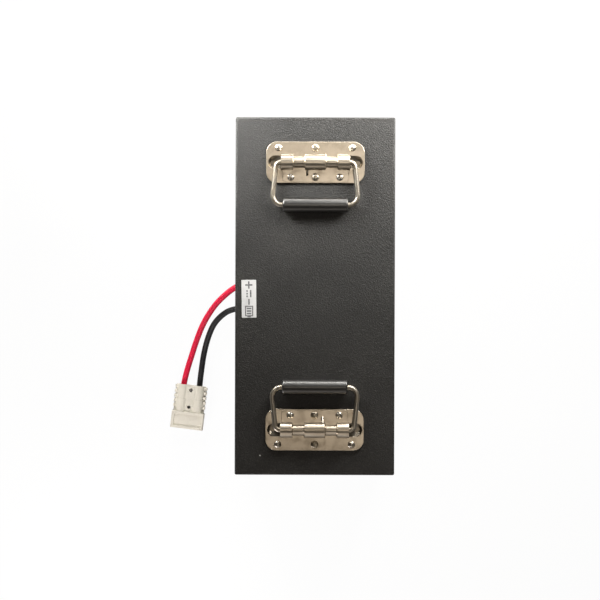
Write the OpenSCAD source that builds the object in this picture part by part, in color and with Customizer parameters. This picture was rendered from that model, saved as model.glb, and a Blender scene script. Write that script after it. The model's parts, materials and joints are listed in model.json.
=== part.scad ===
// Battery box: two layers of prismatic cells in a folded steel tub, closed by a cap lid with
// two sprung drop handles. A red and a black lead leave one long side and end in a plug.
// Millimetres. X runs across the box, Y along it and Z up; the origin is the middle of the base.

/* [Cells] */
// Width of one cell, across the box
cell_w = 134; // [120:1:150]
// Thickness of one cell, along the box
cell_t = 34; // [30:0.5:38]
// Height of one cell without its terminals
cell_h = 105; // [90:1:120]
// Cells in each of the two layers
cells_per_layer = 10; // [8:2:12]
// Gap between neighbouring cells
cell_gap = 0.8; // [0.5:0.1:2]
// Height of a terminal pad above the cell
terminal_h = 2.5; // [2:0.5:4]
// Distance of a terminal's middle from the cell's narrow side
terminal_inset = 22; // [20:1:26]

/* [Wiring] */
// Thickness of the bars that join the cells
busbar_t = 2; // [1:0.5:3]
// Width of the bars that join the cells
busbar_w = 16; // [12:1:18]
// Diameter of the leads over their insulation
lead_d = 6.4; // [5.6:0.1:6.6]
// Width of the wiring channel beside the cells
channel_w = 18.2; // [18:0.1:26]
// Width of the management board and its heat plate
board_w = 80; // [70:1:90]
// Length of the management board and its heat plate
board_l = 120; // [100:1:150]
// Thickness of the heat plate
heat_plate_t = 4; // [3:0.5:6]
// Thickness of the circuit board
circuit_t = 1.6; // [1:0.2:2]
// Height of the power transistors under the circuit board
transistor_h = 4.5; // [4:0.5:6]
// Width of the flat balance cable
ribbon_w = 26; // [20:1:30]
// Thickness of the flat balance cable
ribbon_t = 1.2; // [0.8:0.1:1.6]

/* [Padding] */
// Thickness of the pad under the lower layer
floor_pad_t = 3; // [2:0.5:6]
// Thickness of the foam at each end of the layers
end_pad_t = 4.4; // [3:0.1:8]
// Thickness of the foam along the far side of the cells
side_pad_t = 3; // [2:0.5:6]
// Slack between the cells and the foam
pack_fit = 0.2; // [0.1:0.05:0.5]
// Thickness of the tray and of the top board
tray_t = 2; // [1.5:0.5:4]
// Air above the bars, under the tray and the top board
bar_air = 2; // [1.5:0.5:5]
// Free height above the circuit board
headroom = 8.9; // [8:0.1:20]

/* [Case] */
// Thickness of the steel sheet
sheet_t = 1.5; // [1.2:0.1:1.8]
// Outer radius of the folded edges
bend_r = 2; // [2:0.1:4]
// Depth of the lid's skirt
skirt_h = 22; // [18:1:40]
// Gap between the lid's skirt and the tub
lid_fit = 0.3; // [0.2:0.05:0.6]
// Thickness of the lid's gasket
gasket_t = 2.5; // [1.5:0.5:4]
// Width of the lid's gasket
gasket_w = 8; // [5:1:12]
// Depth of the lid screws below the top face
lid_screw_drop = 12; // [10:0.5:14]
// Distance between lid screws on a long side
lid_screw_pitch = 130; // [90:5:150]
// Distance between lid screws on a short side
lid_end_pitch = 90; // [60:5:100]
// Height of the cable outlets above the base
outlet_z = 36; // [30:1:60]
// Distance between the two cable outlets
outlet_pitch = 26; // [22:1:40]
// Diameter of the holes for the grommets
outlet_d = 13; // [12.5:0.1:14]
// Label size across the box
label_w = 14.9; // [12:0.1:20]
// Label size along the box
label_l = 38.4; // [30:0.1:50]
// Distance of the label's middle from the lid's edge
label_inset = 14; // [12:0.5:30]

/* [Handles] */
// Length of a handle's plate
plate_l = 100; // [98:1:115]
// Width of a handle's plate
plate_w = 42; // [40:1:50]
// Corner radius of a handle's plate
plate_corner = 11; // [6:0.5:12]
// Thickness of a handle's plate
plate_t = 1.5; // [1.2:0.1:2]
// Thickness of the backing plate under it
backing_t = 1.2; // [1:0.1:2]
// Distance of a handle's pivot from the lid's end
handle_inset = 46; // [40:1:70]
// Diameter of the bail's rod
rod_d = 5; // [4.6:0.1:5.4]
// Diameter of the grip
grip_d = 14.4; // [13.6:0.1:18]
// Length of the grip
grip_l = 66; // [50:1:66]
// Distance from the pivot to the grip's axis
grip_reach = 43.2; // [42:0.1:55]
// Gap between the folded grip and the lid
grip_lift = 0.4; // [0.3:0.1:2]
// Length of each end knuckle
knuckle_l = 12.8; // [12:0.1:14]
// Length of each neck between knuckles
neck_l = 10.8; // [10:0.1:12]
// Length of the middle knuckle, which holds the spring
middle_l = 22.4; // [22.4:0.1:24]
// Radial clearance of the rod in its barrel
pivot_fit = 0.05; // [0.03:0.01:0.1]
// Diameter of the spring wire
wire_d = 1.8; // [1.4:0.1:1.8]
// Turns of the spring
spring_turns = 7; // [4:1:7]
// Distance of each row of fasteners from the pivot
row_offset = 14.9; // [14.5:0.1:17]
// Distance between the screws of the outer row
outer_pitch = 74.8; // [70:0.2:78]
// Distance between the screws of the inner row
inner_pitch = 49.6; // [40:0.2:56]

/* [Plug] */
// Length of the plug's housing
plug_l = 48; // [46:0.5:54]
// Width of the housing at its mating end
plug_w = 35.8; // [35.4:0.1:40]
// Height of the housing
plug_h = 16.6; // [16:0.1:20]
// Length of the mating end
nose_l = 18.5; // [18:0.5:22]
// Distance between the two poles
pole_pitch = 17.6; // [17:0.1:18]
// Diameter of the wire bores
wire_bore_d = 9.2; // [9:0.1:10]
// Width of a mating mouth
mouth_w = 12.8; // [12:0.1:13.4]
// Height of a mating mouth
mouth_h = 11.8; // [11:0.1:12]
// Diameter of the two fixing holes
fixing_d = 3.8; // [3:0.1:4.2]
// Distance between the two fixing holes
fixing_pitch = 18.6; // [16:0.1:20]

/* [Hidden] */
$fn = 64;
sliver = 0.02;
over = 1;

// Widths and lengths, from the cells outwards
cell_pitch = cell_t + cell_gap;
row_l = cells_per_layer * cell_pitch - cell_gap;
inner_w = channel_w + cell_w + pack_fit + side_pad_t;
inner_l = row_l + 2 * (pack_fit + end_pad_t);
tub_w = inner_w + 2 * sheet_t;
tub_l = inner_l + 2 * sheet_t;
lid_w = tub_w + 2 * (lid_fit + sheet_t);
lid_l = tub_l + 2 * (lid_fit + sheet_t);
cell_x = channel_w + cell_w / 2 - inner_w / 2;
cell_side = cell_x - cell_w / 2;
terminal_x = cell_w / 2 - terminal_inset;

// Heights, from the floor upwards
lower_z = sheet_t + floor_pad_t;
lower_bars_z = lower_z + cell_h + terminal_h;
tray_z = lower_bars_z + busbar_t + bar_air;
upper_z = tray_z + tray_t;
upper_bars_z = upper_z + cell_h + terminal_h;
top_board_z = upper_bars_z + busbar_t + bar_air;
heat_plate_z = top_board_z + tray_t;
transistor_z = heat_plate_z + heat_plate_t;
circuit_z = transistor_z + transistor_h;
lid_under_z = circuit_z + circuit_t + headroom;
case_h = lid_under_z + sheet_t;
rim_z = lid_under_z - gasket_t;

// Small sizes of cells and bars
cell_corner = 3;
terminal_w = 20;
terminal_l = 14;
vent_d = 14;
vent_h = 0.6;
bar_corner = 4;
bar_overlap = 9;
end_clear = 40;
rib_w = 6;
rib_inset = 4;
fin_h = 13;
board_corner = 2;
fin_w = 8;
transistor_w = 10;
transistor_l = 15;
transistor_rows = 6;
transistor_pitch = 16.5;
transistor_inset = 20;
lug_l = 8;
lug_w = 10;
lug_h = 8;
lug_overlap = 2;

// Small sizes of the case
weld_nut_r = 4.04;
nut_h = 3.2;
bolt_r = 2;
nut_fit = 0.03;
hole_fit = 0.2;
bolt_end = 1;
countersink_r = bolt_r + sheet_t + lid_fit;
corner_clear = 2;
gasket_clear = 0.1;
gasket_inset = bend_r - sheet_t + gasket_clear;
lip_r = 8.5;
lip_edge = 0.7;
groove_fit = 0.05;
bush_clear = 1.5;
bush_bore_r = lead_d / 2 + bush_clear;
lip_out = sheet_t + lid_fit;
lip_in = 1.8;
label_t = 0.2;
label_corner = 0.6;
label_turn = 0.8;
label_shift = -2.9;

// Small sizes of the handles
rod_r = rod_d / 2;
spring_clear = 0.35;
coil_r = rod_r + spring_clear + wire_d / 2;
pocket_clear = 0.55;
pocket_wall = 1.2;
knuckle_wall = 2.4;
neck_wall = 2.7;
pocket_r = coil_r + wire_d / 2 + pocket_clear;
pocket_l = middle_l - 2 * pocket_wall;
knuckle_r = pocket_r + knuckle_wall;
neck_r = rod_r + neck_wall;
spring_lift = 0.25;
foot_r = 0.9;
barrel_l = 2 * knuckle_l + 2 * neck_l + middle_l;
plate_top = plate_t + backing_t;
pivot_h = max(grip_d / 2 + grip_lift, plate_top + coil_r + wire_d / 2 + spring_lift);
handle_y = lid_l / 2 - handle_inset;
backing_inset = 1;
window_r = 6.6;
window_l = 13.1;
elbow_r = 5;
elbow_gap = 0.3;
corner_r = 9.5;
flare = 6;
pin_gap = 2;
seam_l = 0.3;
seam_step = 0.02;
grip_edge = 1.6;
screw_head_r = 3.7;
screw_head_h = 2.5;
screw_skirt_h = 1;
cross_l = 4.4;
cross_w = 1;
cross_h = 1.3;
rivet_head_r = 4;
rivet_head_h = 2.2;
rivet_r = 2;
rivet_fit = 0.02;
coil_gap = 0.6;
spring_pitch = wire_d + coil_gap;
spring_points = 8;
spring_sides = 6;
spring_tail_x = 8.2;
spring_tail_y = 13.4;
slot_clear = 0.4;

// Small sizes of the plug
plug_x = -133.6;
plug_y = -97.8;
plug_turn = -7;
pole_z = plug_h / 2;
shell_r = 8;
shell_step = 0.5;
shell_l = plug_l - nose_l;
shell_half_l = 15.3;
web_drop = 1.6;
nose_edge = 1.5;
panel_inset = 3;
panel_depth = 1.1;
rib_count = 5;
rib_start = 1;
rib_step = 5.2;
rib_l = 3;
rib_h = 10;
rib_out = 0.8;
fixing_start = 5.5;
crimp_start = 12;
crimp_l = 14;
crimp_r = 4.2;
neck_half_w = 2;
neck_h = 2.2;
neck_rise = 1.1;
neck_in = 1;
neck_out = 2;
tongue_w = 9;
tongue_h = 2.2;
tongue_l = 14;
leaf_w = 8;
leaf_t = 0.8;
leaf_l = 16;
leaf_gap = 0.3;
mouth_floor = pole_z - mouth_h / 2;

// Routes of the leads; the free ones run from the outlet to the plug's contact
tube_sides = 10;
side_hint = [0.3, 0.2, 0.9];
positive_route = [
    [-81, 12, 36], [-88.5, 8, 35.5], [-95.5, 2.5, 33.5], [-102, -3.5, 31], [-108, -10, 28],
    [-113, -17, 24.5], [-117.5, -24, 21], [-121.5, -31.5, 17.5], [-125, -39.5, 14.5],
    [-128, -47.5, 12], [-131, -56, 10], [-133.5, -64.5, 9], [-136.5, -73.5, 8.5],
    [-139, -82, 8.3], [-141, -90, 8.3], [-142.5, -97.5, 8.3], [-143.8, -108.5, 8.3]
];
negative_route = [
    [-81, -13.3, 36], [-88.5, -14.5, 35.5], [-95, -17, 33.5], [-101, -21.5, 31], [-106, -26.5, 28],
    [-110, -32, 25], [-113, -38.5, 21.5], [-115.5, -45, 18.5], [-117.5, -51.5, 15.5],
    [-119.3, -58.5, 12.5], [-120.8, -65.5, 10.5], [-122, -73, 9], [-123, -80.5, 8.3],
    [-124, -88, 8.3], [-124.8, -96, 8.3], [-125.5, -103, 8.3], [-126.3, -110.6, 8.3]
];

// Where the inner leads end: at the outlets, at the tabs of the bars and at the board's lugs
near_lane = 6;
middle_lane = 8.5;
far_lane = 13.2;
output_lug_y = -10;
negative_lug_y = 25;
positive_shift = 1;
negative_shift = 0.3;
tab_y = (cells_per_layer - 0.5) * cell_pitch - (row_l + cell_gap) / 2 - busbar_w / 2;
upper_tab = [cell_side - near_lane, tab_y, upper_bars_z - fin_h / 2];
lower_tab = [cell_side - far_lane, tab_y, lower_bars_z - fin_h / 2];
output_lug = [cell_x - board_w / 2 - lug_l, output_lug_y, circuit_z + circuit_t / 2];
negative_lug = [output_lug[0], negative_lug_y, output_lug[2]];
positive_exit = [-lid_w / 2, outlet_pitch / 2 - positive_shift, outlet_z];
negative_exit = [-lid_w / 2, -outlet_pitch / 2 - negative_shift, outlet_z];

// Routes of the inner leads, in steps from those places
positive_lead_route = concat(
    steps_from(positive_exit, [
        [0, 0, 0], [7, 2.7, 0], [11.5, 5.5, 1.5], [14.5, 10, 5.5], [15.5, 16, 12], [15.5, 23, 22]
    ]),
    steps_from(upper_tab, [
        [0, -73.6, -87], [0, -33.6, -17], [0, -26.6, -8], [0, -18.6, -2.5], [0, -9.6, 0], [0, 0, 0]
    ])
);
output_lead_route = concat(
    steps_from(negative_exit, [
        [0, 0, 0], [7, 0.8, 0], [10.5, 1.8, 2], [12.5, 2.8, 6], [13, 3.3, 14]
    ]),
    steps_from([cell_side - middle_lane, output_lug[1], output_lug[2]], [
        [0, 0, -100.8], [0, 0, -16.8], [1.5, 0, -8.8], [6, 0, -2.8], [13.5, 0, 0]
    ]),
    [output_lug]
);
negative_lead_route = concat(
    steps_from(lower_tab, [
        [0, 0, 0], [0, -8.6, 0], [0, -17.6, 2.5], [0, -25.6, 8.5], [0, -63.6, 51.5]
    ]),
    steps_from([lower_tab[0], negative_lug[1], negative_lug[2]], [
        [0, 21, -38.8], [0, 11, -28.8], [0, 3, -19.8], [1.2, 0, -11.8], [5.7, 0, -4.8], [12.7, 0, -0.8],
        [20.7, 0, 0]
    ]),
    [negative_lug]
);

CELL_NODES = [for (i = [1 : 2 * cells_per_layer]) str("cell_", i < 10 ? "0" : "", i)];

// Points given as steps from a place
function steps_from(place, steps) = [for (step = steps) place + step];

// A direction of length one
function unit(v) = v / norm(v);

// The direction of a route at each of its points
function headings(route) = [
    for (i = [0 : len(route) - 1])
        unit(route[min(i + 1, len(route) - 1)] - route[max(i - 1, 0)])
];

// A sideways direction at each point, carried along the route without twisting
function sideways(heads) = [
    for (
        i = 0, side = unit(cross(heads[0], side_hint));
        i < len(heads);
        i = i + 1,
        side = i < len(heads) ? unit(side - (side * heads[i]) * heads[i]) : side
    ) side
];

// The least distance between the surfaces of two turns of a route, a half turn or more apart
function turn_gap(route, apart, d) = min([
    for (i = [0 : len(route) - 1])
        for (j = [i + apart : 1 : len(route) - 1]) norm(route[i] - route[j])
]) - d;

// A round tube swept along a route, with flat ends
module tube(route, r, sides) {
    heads = headings(route);
    sides_dir = sideways(heads);
    last = (len(route) - 1) * sides;
    points = [
        for (i = [0 : len(route) - 1])
            for (k = [0 : sides - 1])
                route[i] + r * (cos(360 * k / sides) * sides_dir[i]
                    + sin(360 * k / sides) * cross(heads[i], sides_dir[i]))
    ];
    walls = [
        for (i = [0 : len(route) - 2])
            for (k = [0 : sides - 1])
                let (a = i * sides + k, b = i * sides + (k + 1) % sides)
                    for (face = [[a, a + sides, b + sides], [a, b + sides, b]]) face
    ];
    caps = [
        for (k = [1 : sides - 2])
            for (face = [[0, k, k + 1], [last, last + k + 1, last + k]]) face
    ];
    polyhedron(points, concat(walls, caps));
}

// A flat rectangle with round corners
module rounded_rect(x, y, r) {
    square([x - 2 * r, y], center = true);
    square([x, y - 2 * r], center = true);
    for (sx = [-1, 1], sy = [-1, 1])
        translate([sx * (x / 2 - r), sy * (y / 2 - r)])
            circle(r);
}

// A flat upright shape, standing on its lower edge, with round upper corners
module arch(w, h, r) {
    translate([-w / 2, 0])
        square([w, h - r]);
    translate([r - w / 2, 0])
        square([w - 2 * r, h]);
    for (side = [-1, 1])
        translate([side * (w / 2 - r), h - r])
            circle(r);
}

// A block whose upper edges and upright corners are rounded, like folded sheet
module folded_block(x, y, z, r) {
    intersection() {
        linear_extrude(z)
            rounded_rect(x, y, r);
        rotate([90, 0, 0])
            linear_extrude(y, center = true)
                arch(x, z, r);
        rotate([90, 0, 90])
            linear_extrude(x, center = true)
                arch(y, z, r);
    }
}

// A low dome on a flat base
module dome(r, h) {
    ball_r = (r * r + h * h) / (2 * h);
    rotate_extrude()
        intersection() {
            translate([0, h - ball_r])
                circle(ball_r);
            square([r, h]);
        }
}

// Places children at each lid screw, with Z along the screw and pointing out of the case
module at_lid_screws() {
    screw_z = case_h - lid_screw_drop;
    for (side = [-1, 1]) {
        for (step = [-1 : 1])
            translate([side * lid_w / 2, step * lid_screw_pitch, screw_z])
                rotate([0, side * 90, 0])
                    children();
        for (step = [-1, 1])
            translate([step * lid_end_pitch / 2, side * lid_l / 2, screw_z])
                rotate([-side * 90, 0, 0])
                    children();
    }
}

// Places children at a handle, with X along its pivot, Y towards the grip and Z up from the lid
module at_handle(rear) {
    translate([0, rear ? handle_y : -handle_y, case_h])
        rotate([0, 0, rear ? 180 : 0])
            children();
}

// Places children at both handles
module at_handles() {
    for (rear = [false, true])
        at_handle(rear)
            children();
}

// Places children at the four screws of a handle
module at_plate_screws() {
    for (side = [-1, 1]) {
        translate([side * outer_pitch / 2, -row_offset, 0])
            children();
        translate([side * inner_pitch / 2, row_offset, 0])
            children();
    }
}

// Places children at the two rivets of a handle
module at_plate_rivets() {
    for (side = [-1, 1])
        translate([0, side * row_offset, 0])
            children();
}

// Places children at an outlet, with Z pointing out of the case; 1 is positive and -1 negative
module at_outlet(pole) {
    translate([-tub_w / 2, pole * outlet_pitch / 2, outlet_z])
        rotate([0, -90, 0])
            children();
}

// Places children in the plug's frame: the wires enter at Y 0 and the mating end lies at -Y
module at_plug() {
    translate([plug_x, plug_y, 0])
        rotate([0, 0, plug_turn])
            children();
}

module case_tub() {
    color("#1d1c1b")
        difference() {
            translate([0, 0, rim_z])
                rotate([180, 0, 0])
                    folded_block(tub_w, tub_l, rim_z, bend_r);
            translate([0, 0, rim_z + over])
                rotate([180, 0, 0])
                    folded_block(inner_w, inner_l, rim_z + over - sheet_t, bend_r - sheet_t);
            at_lid_screws()
                translate([0, 0, -lip_out - sheet_t - over])
                    cylinder(r = bolt_r + hole_fit, h = sheet_t + 2 * over);
            for (pole = [-1, 1])
                at_outlet(pole)
                    translate([0, 0, -sheet_t - over])
                        cylinder(d = outlet_d, h = sheet_t + 2 * over);
        }
}

module lid() {
    color("#23221f")
        difference() {
            translate([0, 0, case_h - skirt_h])
                folded_block(lid_w, lid_l, skirt_h, bend_r);
            translate([0, 0, case_h - skirt_h - over])
                folded_block(
                    lid_w - 2 * sheet_t, lid_l - 2 * sheet_t, skirt_h + over - sheet_t, bend_r - sheet_t
                );
            at_lid_screws()
                translate([0, 0, -countersink_r])
                    cylinder(r1 = nut_fit, r2 = countersink_r + nut_fit + over, h = countersink_r + over);
            at_handles()
                at_plate_screws()
                    translate([0, 0, -sheet_t - over])
                        cylinder(r = bolt_r + hole_fit, h = sheet_t + 2 * over);
        }
}

module lid_gasket() {
    outer_w = lid_w - 2 * (sheet_t + gasket_inset);
    outer_l = lid_l - 2 * (sheet_t + gasket_inset);
    color("#2b2b2b")
        translate([0, 0, rim_z])
            linear_extrude(gasket_t)
                difference() {
                    rounded_rect(outer_w, outer_l, bend_r);
                    square([outer_w - 2 * gasket_w, outer_l - 2 * gasket_w], center = true);
                }
}

module lid_screws() {
    bolt_l = lip_out + sheet_t + nut_h + bolt_end;
    color("#2a2a2a")
        at_lid_screws()
            difference() {
                union() {
                    translate([0, 0, -bolt_l])
                        cylinder(r = bolt_r, h = bolt_l);
                    translate([0, 0, -lip_out])
                        cylinder(r1 = bolt_r, r2 = countersink_r, h = lip_out);
                }
                translate([0, 0, -cross_h / 2])
                    for (turn = [0, 90])
                        rotate([0, 0, turn])
                            cube([cross_l, cross_w, cross_h + sliver], center = true);
            }
}

module lid_weld_nuts() {
    color("#8f8f8f")
        at_lid_screws()
            translate([0, 0, -lip_out - sheet_t - nut_h])
                hex_nut(weld_nut_r);
}

// A hexagon nut standing on its flat face
module hex_nut(r) {
    difference() {
        cylinder(r = r, h = nut_h, $fn = 6);
        translate([0, 0, -over])
            cylinder(r = bolt_r + nut_fit, h = nut_h + 2 * over);
    }
}

module rating_label() {
    color("#efefec")
        translate([label_inset - lid_w / 2, label_shift, case_h])
            rotate([0, 0, label_turn])
                linear_extrude(label_t)
                    rounded_rect(label_w, label_l, label_corner);
}

// The holes through a handle's plates: screws, rivets and the windows beside the barrel
module plate_holes() {
    at_plate_screws()
        circle(bolt_r + hole_fit);
    at_plate_rivets()
        circle(rivet_r + rivet_fit);
    for (side = [-1, 1]) {
        window_x = barrel_l / 2 + window_l - window_r;
        translate([side * window_x, 0])
            circle(window_r);
        translate([side * (window_x + barrel_l / 2) / 2, 0])
            square([window_x - barrel_l / 2, 2 * window_r], center = true);
    }
}

// The section of the barrel: a round top on straight sides that sweep out into the plate
module barrel_section(r) {
    rise = pivot_h - plate_top;
    translate([-r, 0])
        square([2 * r, rise]);
    translate([0, rise])
        intersection() {
            circle(r);
            translate([-r, 0])
                square([2 * r, r]);
        }
    difference() {
        translate([-r - foot_r, 0])
            square([2 * (r + foot_r), foot_r]);
        for (side = [-1, 1])
            translate([side * (r + foot_r), foot_r])
                circle(foot_r);
    }
}

// One stretch of the barrel between two places along the pivot
module barrel_stretch(from_x, to_x, r) {
    translate([from_x, 0, plate_top])
        rotate([90, 0, 90])
            linear_extrude(to_x - from_x)
                barrel_section(r);
}

module handle_plate() {
    middle = middle_l / 2;
    neck = middle + neck_l;
    half = barrel_l / 2;
    color("#c9bda6")
        difference() {
            union() {
                translate([0, 0, backing_t])
                    linear_extrude(plate_t)
                        difference() {
                            rounded_rect(plate_l, plate_w, plate_corner);
                            plate_holes();
                        }
                barrel_stretch(-middle, middle, knuckle_r);
                barrel_stretch(middle, neck, neck_r);
                barrel_stretch(-neck, -middle, neck_r);
                barrel_stretch(neck, half, knuckle_r);
                barrel_stretch(-half, -neck, knuckle_r);
            }
            translate([0, 0, pivot_h])
                rotate([0, 90, 0]) {
                    cylinder(r = rod_r + pivot_fit, h = barrel_l + 2 * over, center = true);
                    cylinder(r = pocket_r, h = pocket_l, center = true);
                }
            translate([spring_tail_x - wire_d / 2 - slot_clear, 0, plate_top])
                cube([
                    wire_d + 2 * slot_clear,
                    knuckle_r + foot_r + over,
                    pivot_h - plate_top - coil_r + wire_d / 2 + slot_clear
                ]);
        }
}

module backing_plate() {
    color("#8d8577")
        linear_extrude(backing_t)
            difference() {
                rounded_rect(
                    plate_l - 2 * backing_inset, plate_w - 2 * backing_inset, plate_corner - backing_inset
                );
                plate_holes();
            }
}

// A straight length of the bail's rod that runs a little way into the bend at each end
module rod_line(start, turn, length) {
    translate(start)
        rotate([0, 0, turn])
            translate([-seam_l, 0, 0])
                rotate([0, 90, 0])
                    cylinder(r = rod_r - seam_step, h = length + 2 * seam_l);
}

// A bend of the bail's rod about a centre in the bail's plane
module rod_bend(centre, r, from_angle, to_angle) {
    translate(centre)
        rotate([0, 0, from_angle])
            rotate_extrude(angle = to_angle - from_angle)
                translate([r, 0])
                    circle(rod_r);
}

module bail() {
    elbow_x = barrel_l / 2 + elbow_gap;
    arm_start = [elbow_x + elbow_r * cos(flare), elbow_r - elbow_r * sin(flare), 0];
    arm_rise = grip_reach - corner_r * (1 + sin(flare)) - arm_start[1];
    arm_l = arm_rise / cos(flare);
    arm_end = arm_start + arm_l * [sin(flare), cos(flare), 0];
    corner = arm_end + corner_r * [-cos(flare), sin(flare), 0];
    color("#d5cdbd")
        translate([0, 0, pivot_h]) {
            for (side = [0, 1])
                mirror([side, 0, 0]) {
                    translate([pin_gap / 2, 0, 0])
                        rotate([0, 90, 0])
                            cylinder(r = rod_r, h = elbow_x - pin_gap / 2);
                    rod_bend([elbow_x, elbow_r, 0], elbow_r, -90, -flare);
                    rod_line(arm_start, 90 - flare, arm_l);
                    rod_bend(corner, corner_r, -flare, 90);
                }
            rod_line([-corner[0], grip_reach, 0], 0, 2 * corner[0]);
        }
}

module grip() {
    color("#161616")
        translate([0, grip_reach, pivot_h])
            rotate([0, 90, 0])
                rotate_extrude()
                    difference() {
                        rounded_rect(grip_d, grip_l, grip_edge);
                        translate([-grip_d, -grip_l])
                            square([grip_d + rod_r + pivot_fit, 2 * grip_l]);
                    }
}

module spring() {
    steps = spring_turns * spring_points;
    coil_z = pivot_h - coil_r;
    coil_start = spring_tail_x - spring_turns * spring_pitch;
    route = concat(
        [[coil_start, -wire_d, coil_z]],
        [
            for (k = [0 : steps])
                let (turn = 360 * k / spring_points - 90)
                    [
                        coil_start + spring_pitch * k / spring_points,
                        coil_r * cos(turn),
                        pivot_h + coil_r * sin(turn)
                    ]
        ],
        [[spring_tail_x, wire_d, coil_z], [spring_tail_x, spring_tail_y, coil_z]]
    );
    echo(least_gap_between_turns = turn_gap(route, spring_points / 2 + 1, wire_d));
    color("#b9b4a8")
        tube(route, wire_d / 2, spring_sides);
}

module rear_handle_plate() {
    at_handle(true)
        handle_plate();
}

module rear_backing_plate() {
    at_handle(true)
        backing_plate();
}

module rear_bail() {
    at_handle(true)
        bail();
}

module rear_grip() {
    at_handle(true)
        grip();
}

module rear_spring() {
    at_handle(true)
        spring();
}

module front_handle_plate() {
    at_handle(false)
        handle_plate();
}

module front_backing_plate() {
    at_handle(false)
        backing_plate();
}

module front_bail() {
    at_handle(false)
        bail();
}

module front_grip() {
    at_handle(false)
        grip();
}

module front_spring() {
    at_handle(false)
        spring();
}

module handle_rivets() {
    color("#cfc6b4")
        at_handles()
            at_plate_rivets() {
                translate([0, 0, plate_top])
                    dome(rivet_head_r, rivet_head_h);
                cylinder(r = rivet_r, h = plate_top);
            }
}

module handle_screws() {
    grip_through = plate_top + sheet_t + nut_h + bolt_end;
    color("#d8d2c6")
        at_handles()
            at_plate_screws()
                translate([0, 0, plate_top])
                    difference() {
                        union() {
                            cylinder(r = screw_head_r, h = screw_skirt_h);
                            translate([0, 0, screw_skirt_h])
                                dome(screw_head_r, screw_head_h - screw_skirt_h);
                            translate([0, 0, -grip_through])
                                cylinder(r = bolt_r, h = grip_through);
                        }
                        translate([0, 0, screw_head_h - cross_h / 2])
                            for (turn = [0, 90])
                                rotate([0, 0, turn])
                                    cube([cross_l, cross_w, cross_h + sliver], center = true);
                    }
}

module handle_nuts() {
    color("#a09a8e")
        at_handles()
            at_plate_screws()
                translate([0, 0, -sheet_t - nut_h])
                    hex_nut(weld_nut_r);
}

// A rubber bush that clips into the sheet round a lead
module grommet(pole) {
    color("#151515")
        at_outlet(pole)
            rotate_extrude()
                difference() {
                    union() {
                        translate([0, lip_out / 2])
                            rounded_rect(2 * lip_r, lip_out, lip_edge);
                        translate([0, -sheet_t - lip_in / 2])
                            rounded_rect(2 * lip_r, lip_in, lip_edge);
                        translate([0, -sheet_t - lip_edge])
                            square([outlet_d / 2 - groove_fit, sheet_t + 2 * lip_edge]);
                    }
                    translate([-2 * lip_r, -2 * lip_r])
                        square([2 * lip_r + bush_bore_r, 4 * lip_r]);
                }
}

module positive_grommet() {
    grommet(1);
}

module negative_grommet() {
    grommet(-1);
}

module positive_cable() {
    color("#c8171f")
        tube(positive_route, lead_d / 2, tube_sides);
}

module negative_cable() {
    color("#1a1a1c")
        tube(negative_route, lead_d / 2, tube_sides);
}

// Places children at both poles of the plug, on the axis of the wire bores
module at_poles() {
    for (side = [-1, 1])
        translate([side * pole_pitch / 2, 0, pole_z])
            children();
}

// A round bar that runs forward from a distance behind the wire end
module forward_bar(start, length, r) {
    translate([0, -start, 0])
        rotate([90, 0, 0])
            cylinder(r = r, h = length);
}

module plug_housing() {
    rib_x = pole_pitch / 2 + shell_r + rib_out;
    color("#b9ae98")
        at_plug()
            difference() {
                union() {
                    at_poles() {
                        forward_bar(0, shell_half_l, shell_r - shell_step);
                        forward_bar(shell_half_l, shell_l - shell_half_l, shell_r);
                    }
                    translate([-pole_pitch / 2, -shell_l, web_drop])
                        cube([pole_pitch, shell_l, plug_h - 2 * web_drop]);
                    translate([0, -shell_l, pole_z])
                        rotate([90, 0, 0])
                            linear_extrude(nose_l)
                                rounded_rect(plug_w, plug_h, nose_edge);
                    for (i = [0 : rib_count - 1])
                        translate([-rib_x, -rib_l - rib_start - i * rib_step, pole_z - rib_h / 2])
                            cube([2 * rib_x, rib_l, rib_h]);
                }
                at_poles() {
                    forward_bar(-over, shell_l + 2 * over, wire_bore_d / 2);
                    translate([-mouth_w / 2, -plug_l - over, -mouth_h / 2])
                        cube([mouth_w, nose_l + over, mouth_h]);
                }
                for (i = [0, 1])
                    translate([0, -fixing_start - i * fixing_pitch, -over])
                        cylinder(d = fixing_d, h = plug_h + 2 * over);
                for (level = [0, plug_h])
                    translate([0, -shell_l - nose_l / 2, level])
                        cube(
                            [plug_w - 2 * panel_inset, nose_l - 2 * panel_inset, 2 * panel_depth],
                            center = true
                        );
            }
}

// A silvered contact: a crimp barrel for the wire and a flat tongue in the mouth
module contact(pole) {
    tongue_z = mouth_floor + leaf_t + leaf_gap;
    color("#c7c4bc")
        at_plug()
            translate([pole * pole_pitch / 2, 0, 0]) {
                translate([0, 0, pole_z])
                    forward_bar(crimp_start, crimp_l, crimp_r);
                translate([-neck_half_w, -shell_l - neck_out, tongue_z + neck_rise])
                    cube([2 * neck_half_w, shell_l + neck_out + neck_in - crimp_start - crimp_l, neck_h]);
                translate([-tongue_w / 2, -shell_l - sliver - tongue_l, tongue_z])
                    cube([tongue_w, tongue_l - leaf_gap, tongue_h]);
            }
}

module positive_contact() {
    contact(-1);
}

module negative_contact() {
    contact(1);
}

module contact_springs() {
    color("#9a9a98")
        at_plug()
            for (side = [-1, 1])
                translate([side * pole_pitch / 2 - leaf_w / 2, -shell_l - leaf_gap - leaf_l, mouth_floor])
                    cube([leaf_w, leaf_l, leaf_t]);
}

module floor_pad() {
    color("#6b6f73")
        translate([0, 0, sheet_t])
            linear_extrude(floor_pad_t)
                square([inner_w - 2 * corner_clear, inner_l - 2 * corner_clear], center = true);
}

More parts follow.
